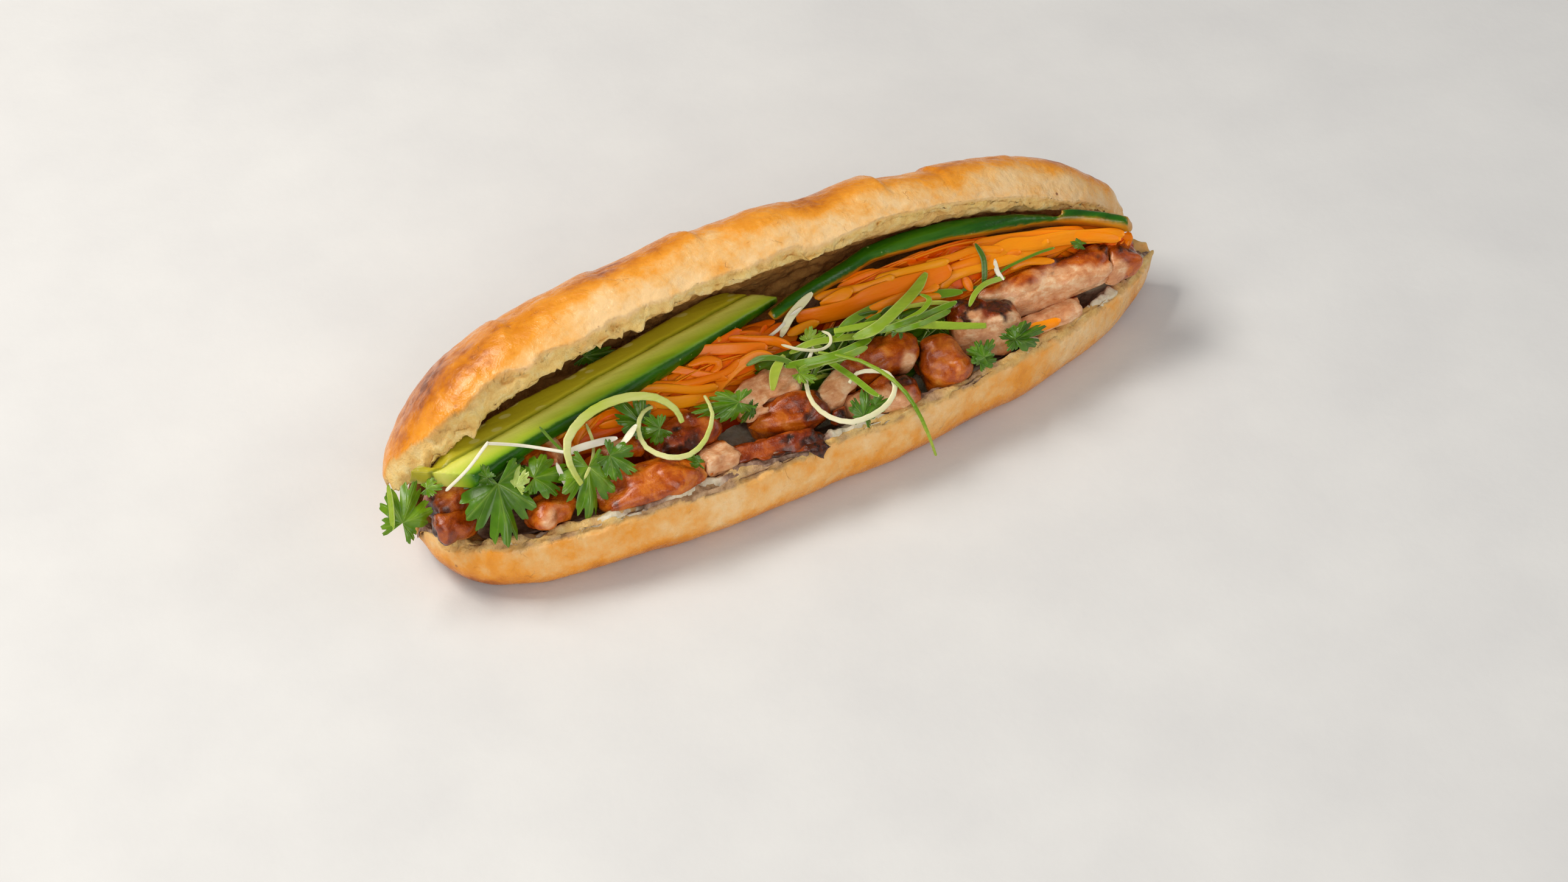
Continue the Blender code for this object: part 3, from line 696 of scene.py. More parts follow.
# Chicken: how pale it is, which way its pale side and its charred side lie, how much of it is charred, and how red.
CHICKEN = {
    "big": (0.0, (1, 0, 0.2), (-1, -0.3, -0.6), 0.32, 0.1),
    "charred": (0.05, (0.6, 0.2, 0.6), (0.2, -0.6, 0.1), 0.62, 0.9),
    "seared": (0.55, (-0.6, -0.6, 0.2), (0.6, 0, 0.8), 0.25, 0.2),
    "round": (0.0, (0, 0, 1), (-1, 0.2, 0.3), 0.12, 0.15),
    "char_top": (0.6, (-0.3, -1, 0), (0.2, 0.3, 1), 0.5, 0.5),
    "long_slice": (0.66, (-0.5, -1, 0.1), (0.6, 0.5, 0.8), 0.22, 0.1),
    "golden": (0.1, (0, -0.6, 0.6), (-1, 0, -0.6), 0.1, 0.0),
    "tip_upper": (0.1, (0, 0, 1), (-1, -0.4, 0), 0.35, 0.25),
    "tip_lower": (0.05, (0.5, 0, 0.5), (-1, 0, -0.3), 0.4, 0.6),
    "behind_leaf": (0.45, (0.8, -0.4, 0), (-1, 0, 0.4), 0.15, 0.3),
    "pink": (0.8, (0, -1, 0.4), (1, 0, 0), 0.05, 0.0),
    "flap": (0.1, (0, 0, 1), (1, 0, 0), 0.3, 0.1),
    "red": (0.05, (1, 0, 0), (-0.4, -0.7, 0.2), 0.45, 0.75),
    "strip": (0.15, (0, 0, 1), (-1, 0, 0), 0.1, 0.0),
    "glazed_front": (0.12, (-1, 0, 0.3), (1, -0.2, 0.3), 0.35, 0.3),
    "flat_slice": (0.85, (0, -0.3, 1), (1, 0.3, 0), 0.05, 0.0),
    "glazed_back": (0.1, (0.6, -0.7, 0), (-1, 0.3, 0), 0.12, 0.35),
    "pale_band": (0.7, (0, -0.5, 1), (1, 0, 0), 0.1, 0.0),
    "burnt_bit": (0.0, (1, 0, 0), (0, -1, 0), 0.7, 0.8),
    "end": (0.35, (-1, -0.3, 0), (0.6, 0, 0.8), 0.3, 0.1),
    "under_slice": (0.6, (0, -0.4, 1), (-1, 0, -0.5), 0.1, 0.0),
}


def shape_chicken(name, index, paleness, pale_side, char_side, charred, redness):
    """One chunk: torn and folded, flattened where it was cut, and browned and burnt on its own sides."""
    points, quads = remeshed(*solid_of("chicken_" + name), 0.75)
    edges = edges_of(quads)
    points = smoothed(points, edges, 10)
    normals = normals_of(points, quads)
    low, high = points.min(axis=0), points.max(axis=0)
    size = (high - low) / 2
    inside = (points - low) / size - 1
    pale_side, char_side = unit(np.array(pale_side, float)), unit(np.array(char_side, float))
    uneven = noise(points, 7, 50 + index, 3)
    towards_pale = dot(inside, pale_side)
    if paleness > 0.4:
        over = np.maximum(towards_pale - 0.5 - 0.1 * uneven, 0)
        points = points - pale_side * (over * 0.75 * np.min(size))[:, None]
    pale = ease(1.2 - 2.1 * paleness, 1.6 - 2.1 * paleness, towards_pale + 0.4 * uneven)
    burn = dot(inside, char_side) + 0.5 * noise(points, 4.5, 80 + index, 3)
    char = ease(1.15 - 1.1 * charred, 1.45 - 1.1 * charred, burn)
    red = redness + 0.5 * ease(0.75 - 1.1 * charred, 1.15 - 1.1 * charred, burn)
    folds = (1 - np.abs(noise(points * (0.6, 1, 1), 7, 110 + index, 2))) ** 5
    relief = 1.1 * noise(points, 10, 130 + index, 2)
    relief += 0.3 * noise(points * (0.4, 1, 1), 2.4, 140 + index, 2)
    relief += 0.5
    relief -= 1.0 * folds * (1 - 0.6 * pale) + 0.5 * char * (noise(points, 2.2, 170, 2) > 0)
    points = smoothed(points + normals * relief[:, None], edges, 1)
    return points, quads, {"pale": pale, "char": char, "red": np.clip(red, 0, 1)}


def make_chicken():
    material = chicken_material()
    for index, (name, looks) in enumerate(CHICKEN.items()):
        part = shape_chicken(name, index, *looks)
        make_piece("meat_" + name, *part, material, "chicken", ["chicken_" + name])


def curve(route, spacing=1.2):
    """A smooth curve through the route's points, at even steps."""
    route = np.asarray(route, float)
    padded = np.concatenate((2 * route[:1] - route[1:2], route, 2 * route[-1:] - route[-2:-1]))
    t = np.linspace(0, 1, 12, endpoint=False)[:, None]
    bits = []
    for a, b, c, d in zip(padded, padded[1:], padded[2:], padded[3:]):
        square = (2 * a - 5 * b + 4 * c - d) * t**2
        cube = (3 * b - a - 3 * c + d) * t**3
        bits.append(0.5 * (2 * b + (c - a) * t + square + cube))
    fine = np.concatenate(bits + [route[-1:]])
    length = np.concatenate(((0,), np.cumsum(np.linalg.norm(np.diff(fine, axis=0), axis=1))))
    marks = np.linspace(0, length[-1], max(int(length[-1] / spacing), 6))
    return np.stack([np.interp(marks, length, column) for column in fine.T], axis=1)


SECTION = [(math.cos(a), math.sin(a)) for a in np.linspace(0, 2 * math.pi, 10, endpoint=False)]
TOWARDS_VIEWER = unit(np.array((-0.35, -0.67, 0.66)))


def ribbon(route, width, thickness, facing, tone, cup=0.0, blunt=0.8, twist=0.0, spacing=1.2):
    """A flat strand with rounded edges. Cup bends its cross-section, and twist turns it along its length."""
    path = curve(route, spacing)
    count = len(path)
    tangent = unit(np.gradient(path, axis=0))
    facing = np.broadcast_to(np.asarray(facing, float), path.shape)
    normal = unit(facing - tangent * dot(facing, tangent)[:, None])
    side = np.cross(tangent, normal)
    share = np.linspace(0, 1, count)
    angle = twist * (share - 0.5)
    normal, side = (
        normal * np.cos(angle)[:, None] + side * np.sin(angle)[:, None],
        side * np.cos(angle)[:, None] - normal * np.sin(angle)[:, None],
    )
    taper = np.clip(np.minimum(share, 1 - share) * count * spacing / (blunt * width), 0, 1)
    taper = 0.3 + 0.7 * (1 - (1 - taper) ** 2) ** 0.7
    rings = []
    for c, s in SECTION:
        flat = math.copysign(abs(c) ** 0.7, c)
        high = math.copysign(abs(s) ** 0.8, s)
        rings.append(
            path
            + side * (flat * width / 2 * taper)[:, None]
            + normal * (high * thickness / 2 * np.sqrt(taper) - cup * flat**2 * taper)[:, None]
        )
    points = np.stack(rings, axis=1).reshape(-1, 3)
    size = len(SECTION)
    i, j = np.meshgrid(np.arange(count - 1), np.arange(size), indexing="ij")
    k = (j + 1) % size
    quads = np.stack((i * size + j, i * size + k, (i + 1) * size + k, (i + 1) * size + j), axis=-1).reshape(-1, 4)
    caps = []
    for start in (0, (count - 1) * size):
        for m in range(size // 2 - 1):
            cap = [start + m, start + m + 1, start + size - 2 - m, start + size - 1 - m]
            caps.append(cap if start else cap[::-1])
    quads = np.concatenate((quads[:, ::-1], np.array(caps)))
    across = np.tile([abs(c) for c, s in SECTION], count)
    values = {"tone": np.full(len(points), tone), "across": across}
    return points, quads, values


def tree_of(points, faces):
    return BVHTree.FromPolygons([Vector(p) for p in points], [list(f) for f in faces])


class Heap:
    """The outline of a packed heap, for laying shreds on it."""

    def __init__(self, node):
        self.node = node
        self.points, self.faces = solid_of(node)
        self.tree = tree_of(self.points, self.faces)
        self.low, self.high = self.points.min(axis=0), self.points.max(axis=0)

    def over(self, along, angle, lift=0.0):
        """The place on the heap's outline seen from its inside, at a share along it. Angle 0 is the front."""
        along = min(max(along, 0.02), 0.98)
        x = self.low[0] + along * (self.high[0] - self.low[0])
        near = self.points[np.abs(self.points[:, 0] - x) < 12]
        middle = Vector((x, near[:, 1].mean(), near[:, 2].min() + 0.45 * np.ptp(near[:, 2])))
        ray = Vector((0, -math.cos(angle), math.sin(angle)))
        hit, normal, _, _ = self.tree.ray_cast(middle + ray * 80, -ray)
        if hit is None:
            return np.array(middle + ray * 8), np.array(ray)
        return np.array(hit + normal * lift), np.array(normal)

    def core(self, shrink):
        """A smaller copy of the heap, which closes what shows between its shreds."""
        points, quads = remeshed(self.points, self.faces, 1.6)
        edges = edges_of(quads)
        points = smoothed(points, edges, 6)
        points = points - smoothed(normals_of(points, quads), edges, 4) * shrink
        relief = 0.8 * noise(points * (0.3, 1, 1), 3, 200, 2)
        return points + normals_of(points, quads) * relief[:, None], quads

    def strand(self, random, lengths, angles, drift, lift):
        """A random route over the outline, with the outline's mean facing along it, or nothing if it is too short."""
        span = self.high[0] - self.low[0]
        length = random.uniform(*lengths)
        start = random.uniform(-0.05, 1.0 - 0.5 * length / span)
        angle = math.radians(random.uniform(*angles))
        turn = math.radians(random.normal(0.4 * drift, drift))
        bend = math.radians(random.normal(0, 10))
        route, facing = [], []
        for t in np.linspace(0, 1, 7):
            along = start + t * length / span
            if 0 <= along <= 1:
                around = angle + turn * (t - 0.5) * 2 + bend * math.cos(3 * t * math.pi)
                place, normal = self.over(along, around, lift)
                route.append(place)
                facing.append(normal)
        if len(route) < 4:
            return None
        route = np.array(route)
        route[1:-1] = 0.5 * route[1:-1] + 0.25 * (route[:-2] + route[2:])
        return route, np.mean(facing, axis=0)


# The carrot shreds that lie on top: width, and route from the middle of the loaf's footprint.
CARROTS_LEFT = [
    (2.9, [(-25, 0, 45), (-19, -3, 44), (-12, -7, 44), (-8, -13, 44)]),
    (3.2, [(-48, 4, 41), (-39, 2, 43), (-26, -4, 44), (-14, -7, 42)]),
    (3.0, [(-15, -13, 43), (-20, -10, 43), (-26, -9, 40), (-32, -10, 37), (-38, -12, 35), (-48, -11, 34)]),
    (2.2, [(-63, -1, 41), (-54, -6, 41), (-45, -9, 40), (-36, -10, 40), (-29, -9, 40), (-25, -8, 42)]),
    (2.4, [(-57, -1, 40), (-51, 0, 42), (-46, -3, 42), (-38, -8, 40), (-31, -11, 38)]),
    (3.6, [(-73, -2, 41), (-62, -9, 40), (-53, -12, 37), (-40, -12, 34), (-31, -13, 33)]),
    (2.8, [(-87, -12, 32), (-85, -10, 35), (-79, -8, 39), (-74, -6, 42)]),
    (2.4, [(-92, -8, 34), (-86, -7, 39), (-79, -5, 41), (-71, -5, 42)]),
    (2.8, [(-78, -11, 36), (-70, -12, 36), (-62, -12, 36), (-51, -13, 33), (-46, -15, 31)]),
    (2.4, [(-97, -3, 37), (-89, -5, 38), (-82, -6, 40)]),
    (2.4, [(-42, -4, 43), (-36, -5, 44), (-32, -7, 42), (-36, -8, 40)]),
    (2.0, [(-38, -11, 32), (-31, -12, 31), (-21, -12, 31), (-18, -12, 31)]),
    (2.8, [(-4, -2, 40), (2, -2, 41), (8, -2, 41)]),
    (2.0, [(-20, -13, 27), (-16, -14, 28), (-13, -16, 27)]),
    (3.0, [(-27, 1, 45), (-34, 3, 43), (-41, 5, 41)]),
    (2.6, [(-63, -5, 40), (-55, -8, 41), (-43, -11, 38), (-35, -12, 37)]),
    (2.4, [(-80, -4, 40), (-72, -7, 40), (-65, -10, 39), (-58, -13, 37)]),
    (2.2, [(-94, -6, 35), (-88, -8, 37), (-82, -10, 37)]),
]
CARROTS_RIGHT = [
    (5.4, [(2, 3, 41), (10, 0, 42), (21, -1, 42), (28, -1, 44), (39, -2, 45), (50, -3, 45), (58, -3, 47)]),
    (4.0, [(11, 3, 44), (16, 2, 45), (23, 2, 47)]),
    (3.2, [(53, -5, 39), (57, -4, 43), (64, -5, 45), (75, -6, 45), (87, -6, 45), (95, -6, 47)]),
    (4.2, [(62, 0, 48), (72, -3, 47), (81, -3, 48), (90, -5, 47), (101, -6, 46), (113, -8, 44), (123, -10, 43)]),
    (3.2, [(70, 3, 48), (83, 0, 48), (96, -3, 47), (110, -8, 45), (121, -11, 42)]),
    (2.8, [(62, -5, 43), (63, -9, 39)]),
    (2.4, [(50, 1, 48), (59, -1, 49), (68, -1, 49), (78, -4, 48)]),
    (2.2, [(21, 10, 45), (26, 9, 46), (35, 7, 47)]),
    (2.4, [(80, -6, 40), (86, -7, 42), (95, -10, 41)]),
    (2.8, [(105, 3, 42), (117, -1, 42), (127, -5, 40)]),
    (2.8, [(77, -25, 29), (82, -26, 29), (88, -27, 30)]),
    (2.6, [(21, -10, 44), (33, -11, 44), (45, -8, 42), (55, -7, 39)]),
    (2.6, [(58, -2, 46), (67, -4, 47), (76, -4, 46), (84, -6, 46)]),
    (2.6, [(15, -9, 43), (29, -7, 44), (43, -4, 42), (52, -6, 43)]),
    (2.4, [(11, 7, 44), (19, 5, 45), (28, 2, 46), (38, 0, 48)]),
    (2.4, [(32, 3, 47), (41, 1, 48), (49, 0, 48), (58, -2, 49)]),
]


def make_carrots():
    material = carrot_material()
    for node, count, seed, top in (("carrot_left", 70, 5, CARROTS_LEFT), ("carrot_right", 80, 9, CARROTS_RIGHT)):
        random = np.random.default_rng(seed)
        heap = Heap(node)
        points, quads = heap.core(3.4)
        zero = np.zeros(len(points))
        # The core takes tone 0, the darkest orange: painted shade in the gaps between the shreds.
        parts = [(points, quads, {"tone": zero, "across": zero})]
        for index in range(count):
            laid = heap.strand(random, (30, 75), (18, 128), 24, random.uniform(-2.8, -0.2))
            if laid is None:
                continue
            route, facing = laid
            facing = unit(facing + (0, -0.2, 0.3) + random.normal(0, 0.5, 3))
            width, twist = random.uniform(2.6, 4.8), random.normal(0, 1.0)
            # Shreds beneath take random tones kept darker than those laid on top: real random tone, partly painted
            # shade under the top shreds.
            tone = random.uniform(0.3, 0.75)
            thickness = random.uniform(0.8, 1.2)
            cup, blunt = random.normal(0, 0.3), random.uniform(0.5, 1.2)
            parts.append(ribbon(route, width, thickness, facing, tone, cup, blunt, twist))
        for width, route in top:
            facing = unit(TOWARDS_VIEWER + random.normal(0, 0.3, 3))
            twist = random.normal(0, 0.5)
            tone, cup = random.uniform(0.6, 1.0), random.normal(0, 0.25)
            blunt = random.uniform(0.5, 1.6)
            parts.append(ribbon(at(route), 1.2 * width, 1.0, facing, tone, cup, blunt, twist))
        make_piece(node + "_shreds", *joined(parts), material, "carrot", [node])


# Strips of spring onion: width, how green from 0 (white) to 1, and route from the middle of the loaf's footprint.
STRIPS = {
    "blade_a": (3.2, 0.72, [(6, -17, 46), (14, -13, 47), (29, -5, 42), (38, -4, 41), (47, -5, 40), (60, -8, 39)]),
    "blade_b": (3.8, 0.62, [(12, -18, 44), (20, -20, 47), (32, -14, 47), (43, -6, 45), (49, -2, 47)]),
    "curl_d": (2.0, 0.66, [(24, -21, 45), (31, -20, 46), (39, -17, 45), (44, -13, 45), (42, -10, 46)]),
    "strip_e": (2.0, 0.7, [(26, -21, 44), (34, -23, 45), (43, -20, 43), (50, -17, 41)]),
    "strip_g": (2.2, 0.68, [(1, -15, 39), (7, -27, 36), (10, -34, 34), (12, -37, 33)]),
    "strip_h": (2.8, 0.7, [(-12, -15, 39), (-5, -20, 42), (5, -22, 43), (19, -18, 41)]),
    "stalk": (3.8, 0.5, [(-19, -20, 35), (-16, -16, 39), (-11, -13, 42)]),
    "dark_blade": (2.0, 0.9, [(69, 0, 51), (70, -4, 47), (69, -7, 42), (68, -8, 39)]),
    "stem_l": (1.0, 0.8, [(59, -6, 38), (70, -8, 39), (77, -7, 42), (89, -7, 44), (96, -8, 45)]),
    "stem_m": (2.0, 0.6, [(58, -16, 39), (62, -13, 41), (68, -10, 41), (76, -9, 40)]),
    "stub": (1.8, 0.02, [(74, -5, 46), (74, -7, 42), (75, -10, 40)]),
    "wedge_p": (3.0, 0.2, [(-7, -3, 41), (-2, -1, 47), (8, 3, 50)]),
    "thin_q": (1.2, 0.05, [(-13, -3, 42), (-7, -2, 44), (-2, -1, 47), (2, -1, 49)]),
    "loop": (1.1, 0.15, [(-11, -11, 45), (-6, -15, 44), (0, -17, 43), (4, -17, 44), (5, -15, 46), (3, -13, 47)]),
    "flat": (2.8, 0.02, [(-96, -24, 41), (-88, -20, 38), (-76, -21, 38)]),
    "wedge_u": (2.8, 0.1, [(-77, -24, 37), (-74, -24, 39), (-69, -21, 41)]),
    "short": (1.8, 0.02, [(-99, -24, 39), (-98, -26, 34), (-97, -28, 30)]),
    "thin_w": (1.1, 0.35, [(-82, -10, 38), (-83, -17, 36), (-87, -25, 36), (-93, -32, 36)]),
    "stem_x": (1.9, 0.6, [(-152, -12, 42), (-153, -16, 37), (-155, -21, 31)]),
    "stem_y": (1.0, 0.85, [(-100, -14, 47), (-98, -19, 44), (-96, -24, 42)]),
    "strip_z": (2.4, 0.6, [(-9, -13, 42), (-2, -15, 45), (8, -16, 44), (19, -18, 43)]),
    "strip_aa": (2.2, 0.75, [(20, -20, 45), (28, -22, 47), (43, -17, 43), (53, -16, 43)]),
    "strip_bb": (2.4, 0.66, [(-10, -21, 41), (-1, -20, 40), (7, -23, 42), (16, -21, 41)]),
    "strip_cc": (2.0, 0.8, [(-24, -11, 41), (-19, -12, 43), (-13, -14, 42), (-8, -17, 39)]),
}
KINKED = [
    (-136, -20, 39),
    (-128, -20, 45),
    (-120.4, -18.2, 50.8),
    (-119, -18, 50.6),
    (-108, -19, 46),
    (-96, -25, 43),
]
FREE_STRIPS = {
    "curl_arch": 0.36,
    "curl_ring": 0.3,
    "curl_loop": 0.18,
    "long_blade": 0.62,
    "hanging_strand": 0.66,
}


def make_greens():
    material = green_material()
    for node, tone in FREE_STRIPS.items():
        points, quads = remeshed(*solid_of(node), 0.3)
        edges = edges_of(quads)
        points = smoothed(points, edges, 6)
        values = {"tone": tone + 0.12 * noise(points, 16, 7), "across": np.zeros(len(points))}
        make_piece(node + "_strip", points, quads, values, material, "spring_onion", [node])
    kinked = ribbon(at(KINKED), 1.1, 0.7, TOWARDS_VIEWER, 0.03, spacing=0.5)
    make_piece("kinked_strand_strip", *kinked, material, "spring_onion", ["kinked_strand"])

    heap = Heap("spring_onion_heap")
    points, quads = heap.core(3.2)
    zero = np.zeros(len(points))
    parts = [(points, quads, {"tone": zero + 0.9, "across": zero})]
    random = np.random.default_rng(3)
    for index in range(46):
        laid = heap.strand(random, (16, 50), (15, 150), 40, random.uniform(-1.5, 1.5))
        if laid is None:
            continue
        facing = unit(random.normal(0, 0.5, 3) + (0, -0.6, 0.7))
        tone = random.choice((0.45, 0.6, 0.7, 0.8, 0.9, 0.95))
        width, twist = random.uniform(1.2, 2.6), random.normal(0, 1.2)
        parts.append(ribbon(laid[0], width, 0.6, facing, tone, random.normal(0, 0.3), twist=twist))
    for width, tone, route in STRIPS.values():
        facing = unit(TOWARDS_VIEWER + random.normal(0, 0.25, 3))
        cup = -0.12 * width
        lifted = at(route) + 1.2 * TOWARDS_VIEWER
        parts.append(ribbon(lifted, width, 0.55, facing, tone, cup, blunt=2.2, spacing=0.8))
    make_piece("green_shreds", *joined(parts), material, "spring_onion", ["spring_onion_heap"])


# --- coriander ----------------------------------------------------------------------------------------------

LOBES = ((0.0, 1.0, 0.5), (1.05, 0.92, 0.5), (-1.05, 0.92, 0.5), (1.95, 0.6, 0.38), (-1.95, 0.6, 0.38))


def leaf_outline(angle, seed):
    """How far a leaf reaches from the end of its stalk, by angle from its tip: fan-shaped lobes cut into teeth."""
    reach = np.full_like(angle, 0.46)
    for number, (middle, length, half) in enumerate(LOBES):
        u = (angle - middle) / (half * (1 + 0.1 * math.sin(seed + 2 * number)))
        window = np.clip(1 - np.abs(u) ** 3, 0, 1) ** 0.6
        notches = 1 - 0.2 * np.abs(np.sin(1.5 * math.pi * u)) ** 6
        notches -= 0.12 * np.abs((3.6 * u + seed) % 1 - 0.5)
        grown = length * (1 + 0.08 * math.sin(3 * seed + number)) * notches
        reach = np.maximum(reach, 0.46 + (grown - 0.46) * window)
    return reach


def make_leaf_mesh(size, seed, tone, rows=14, spokes=201):
    """A fan-shaped leaf lying in its own XY plane, its stalk's end at the origin and its tip towards +X."""
    angle = np.linspace(-2.35, 2.35, spokes)
    edge = leaf_outline(angle, seed)
    reach = np.linspace(0.0, 1.0, rows)[:, None] ** 0.8
    x, y = reach * edge * np.cos(angle), reach * edge * np.sin(angle)
    vein = np.zeros((rows, spokes))
    for middle, length, half in LOBES:
        off = np.abs(angle - middle) * reach
        vein = np.maximum(vein, np.exp(-((off / 0.022) ** 2)))
        for side in (-0.55, 0.55):
            branch = np.abs(angle - middle - side * half * reach) * reach
            vein = np.maximum(vein, 0.6 * np.exp(-((branch / 0.015) ** 2)) * ease(0.2, 0.4, reach))
    flat = np.stack((x, y, np.zeros_like(x)), axis=-1).reshape(-1, 3)
    out = np.linalg.norm(flat, axis=1)
    curl = 0.13 * noise(flat, 0.5, int(10 * seed)) * out + 0.07 * noise(flat, 0.22, int(10 * seed) + 1) * out
    ripple = 0.10 * np.tile(np.cos(2 * math.pi * angle / 1.08), rows) * out
    droop = 0.24 * out**2 * (0.7 + 0.5 * math.sin(seed))
    curl += ripple - droop
    top = flat * size
    top[:, 2] = curl * size[0]
    i, j = np.meshgrid(np.arange(rows - 1), np.arange(spokes - 1), indexing="ij")
    quads = np.stack((i * spokes + j, (i + 1) * spokes + j, (i + 1) * spokes + j + 1, i * spokes + j + 1), axis=-1)
    shade = tone + 0.1 * noise(flat, 0.6, int(10 * seed) + 2)
    return top, quads.reshape(-1, 4), {"vein": vein.reshape(-1), "tone": shade}


# For each packed leaf: how its tip turns within its own plane in degrees, its length and width as shares of the
# packed leaf's, and how light it is.
LEAF_LOOKS = [
    (50, 1.1, 1.1, 0.5),
    (-100, 1.15, 1.25, 0.36),
    (25, 1.1, 1.3, 0.2),
    (-5, 1.15, 1.2, 0.45),
    (-110, 1.1, 1.1, 0.45),
    (-50, 1.1, 1.2, 0.36),
    (110, 1.1, 1.1, 0.25),
    (175, 0.9, 0.6, 0.42),
    (60, 0.95, 0.95, 0.32),
    (30, 1.0, 1.0, 0.36),
    (5, 0.85, 0.55, 0.28),
    (150, 0.65, 0.5, 0.3),
]
# Further leaves: where, length, width, how the tip turns as seen from the open side, and how light it is.
FURTHER_LEAVES = [
    ((-139, -17, 39), 7, 7, 20, 0.5),
    ((-113, -23, 38), 11, 9, 100, 0.95),
    ((-65, -23, 38), 11, 12, 200, 0.3),
    ((-30, -24, 33), 8, 5, -140, 0.2),
    ((-56, -36, 32), 8, 5, 180, 0.3),
    ((-9, -24, 40), 8, 9, -60, 0.6),
    ((0, -14, 45), 8, 10, 30, 0.7),
    ((-67, 13, 45), 14, 9, 10, 0.15),
    ((52, -33, 33), 8, 8, 160, 0.35),
    ((66, -30, 33), 8, 7, 190, 0.35),
    ((12, -38, 31), 8, 7, 0, 0.4),
    ((-124, -21, 42), 9, 7, 170, 0.25),
    ((30, -18, 43), 8, 6, 70, 0.3),
]


def place_leaf(middle, normal, reach, width, turn, tone, seed):
    """A leaf's mesh set about its middle, facing along the normal."""
    level = unit(np.cross(UP, normal)) if abs(normal[2]) < 0.98 else np.array((1.0, 0, 0))
    rise = np.cross(normal, level)
    tip = level * math.cos(math.radians(turn)) + rise * math.sin(math.radians(turn))
    side = np.cross(normal, tip)
    points, quads, values = make_leaf_mesh(np.array((reach * 0.8, width * 0.58, 1.0)), seed, tone)
    start = middle - tip * reach * 0.3
    return start + points[:, :1] * tip + points[:, 1:2] * side + (points[:, 2:] + 0.8) * normal, quads, values


def make_leaves():
    material = leaf_material()
    for number, (turn, longer, wider, tone) in enumerate(LEAF_LOOKS, 1):
        node = f"coriander_{number:02}"
        cad, _ = solid_of(node)
        spread_out = cad - cad.mean(axis=0)
        _, _, axes = np.linalg.svd(spread_out, full_matrices=False)
        normal = axes[2] if dot(axes[2], TOWARDS_VIEWER) > 0 else -axes[2]
        middle = (cad.min(axis=0) + cad.max(axis=0)) / 2 + 1.5 * normal
        sizes = sorted((np.ptp(spread_out @ axes[0]), np.ptp(spread_out @ axes[1])))
        leaf = place_leaf(middle, normal, sizes[1] * longer, sizes[1] * wider * 0.9, turn, tone, number * 1.7)
        make_piece(f"leaf_{number:02}", *leaf, material, "coriander", [node])
    random = np.random.default_rng(12)
    parts = []
    for number, (place, length, width, turn, tone) in enumerate(FURTHER_LEAVES):
        normal = unit(TOWARDS_VIEWER + random.normal(0, 0.3, 3))
        parts.append(place_leaf(at(place), normal, length, width, turn, tone, 30 + number * 1.3))
    make_piece("further_leaves", *joined(parts), material, "coriander")


def make_spread(loaf):
    points, quads = remeshed(*solid_of("spread"), 1.0)
    edges = edges_of(quads)
    points = smoothed(points, edges, 4)
    normals = normals_of(points, quads)
    points = points + normals * (0.5 * noise(points, 7, 60, 3))[:, None]
    white = ease(0.0, 0.3, noise(points, 14, 61, 2))
    material = spread_material()
    make_piece("pate", points, quads, {"white": white}, material, "spread", ["spread"])

    crumb, lid = loaf["values"]["crumb"], loaf["lid"]
    base = loaf["points"]
    front = along_loaf(base[:, 0], FRONT) + HOME[1]
    near = (crumb > 0.4) & ~lid & (base[:, 1] < front + 14) & (base[:, 2] > 12)
    keep = near[loaf["quads"]].all(axis=1)
    height = 2.0 * noise(base, 8, 63, 3) - 0.2 - 2 * (base[:, 1] < front + 2)
    smear = base + loaf["normals"] * np.clip(height, -0.6, 1.6)[:, None]
    used, index = np.unique(loaf["quads"][keep], return_inverse=True)
    white = ease(-0.1, 0.2, noise(base, 18, 64, 2))
    make_piece("smears", smear[used], index.reshape(-1, 4), {"white": white[used]}, material, "spread")


# --- stage --------------------------------------------------------------------------------------------------

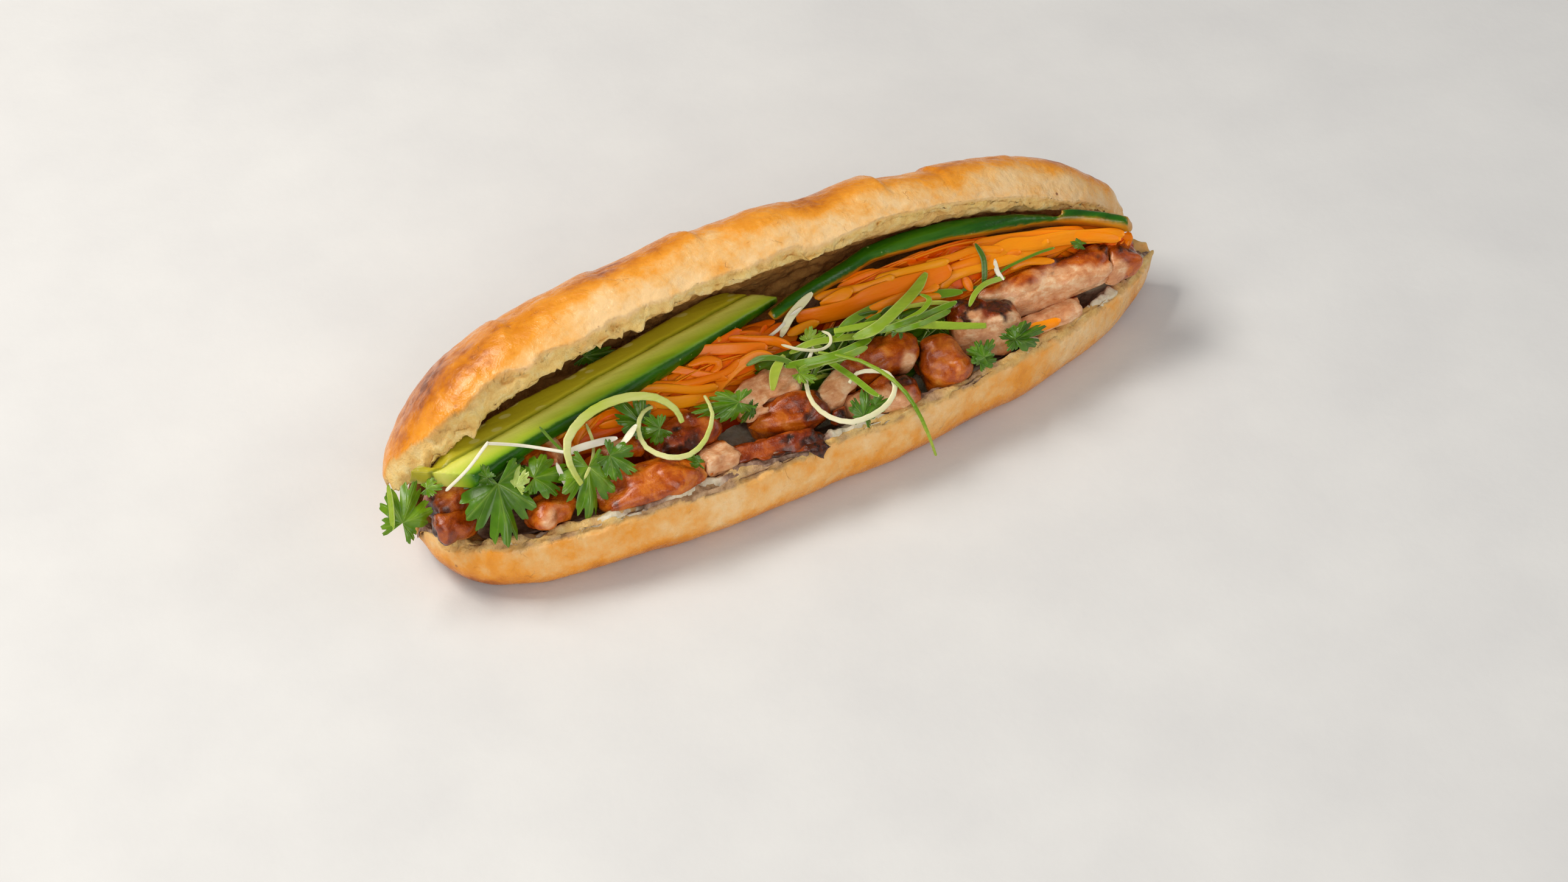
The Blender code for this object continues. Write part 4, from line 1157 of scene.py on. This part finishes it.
LENS = 80.0
VIEW_AZIMUTH, VIEW_ELEVATION = -27.6, 41.0
VIEW_DISTANCE = 1.185
VIEW_TARGET = at((-8.7, -8.56, 0)) * MM


def make_stage():
    size = 3.0
    corners = np.array(((-size, -size, 0), (size, -size, 0), (size, size, 0), (-size, size, 0))) / MM
    floor = new_object("floor", corners, np.array([[0, 1, 2, 3]]))
    floor.data.materials.append(floor_material())

    def area_light(name, place, aim, size, power, colour=(1, 1, 1)):
        light = bpy.data.lights.new(name, "AREA")
        light.shape = "RECTANGLE"
        light.size, light.size_y = size
        light.energy = power
        light.color = colour
        obj = bpy.data.objects.new(name, light)
        obj.location = place
        obj.rotation_euler = (Vector(aim) - Vector(place)).to_track_quat("-Z", "Y").to_euler()
        bpy.context.scene.collection.objects.link(obj)

    area_light("key", (-0.55, 0.45, 0.95), (0, 0, 0.03), (0.6, 0.45), 10.5, (1.0, 0.95, 0.88))
    area_light("front", (-0.5, -0.95, 0.7), (0, 0, 0.03), (1.0, 0.7), 7.0, (1.0, 0.97, 0.92))
    area_light("right", (0.9, -0.3, 0.6), (0, 0, 0.03), (0.6, 0.6), 1.6)
    world = bpy.data.worlds.new("studio")
    world.use_nodes = True
    world.node_tree.nodes["Background"].inputs["Color"].default_value = (1, 1, 1, 1)
    world.node_tree.nodes["Background"].inputs["Strength"].default_value = 0.2
    bpy.context.scene.world = world
    bpy.context.scene.view_settings.view_transform = "Standard"


def make_camera():
    azimuth, elevation = math.radians(VIEW_AZIMUTH), math.radians(VIEW_ELEVATION)
    level = math.cos(elevation)
    back = Vector((math.sin(azimuth) * level, -math.cos(azimuth) * level, math.sin(elevation)))
    data = bpy.data.cameras.new("camera")
    data.lens = LENS
    camera = bpy.data.objects.new("camera", data)
    camera.location = Vector(VIEW_TARGET) + back * VIEW_DISTANCE
    camera.rotation_euler = back.to_track_quat("Z", "Y").to_euler()
    bpy.context.scene.collection.objects.link(camera)
    bpy.context.scene.camera = camera


loaf = make_loaf()
make_spread(loaf)
make_cucumbers()
make_chicken()
make_carrots()
make_greens()
make_leaves()
make_stage()
make_camera()
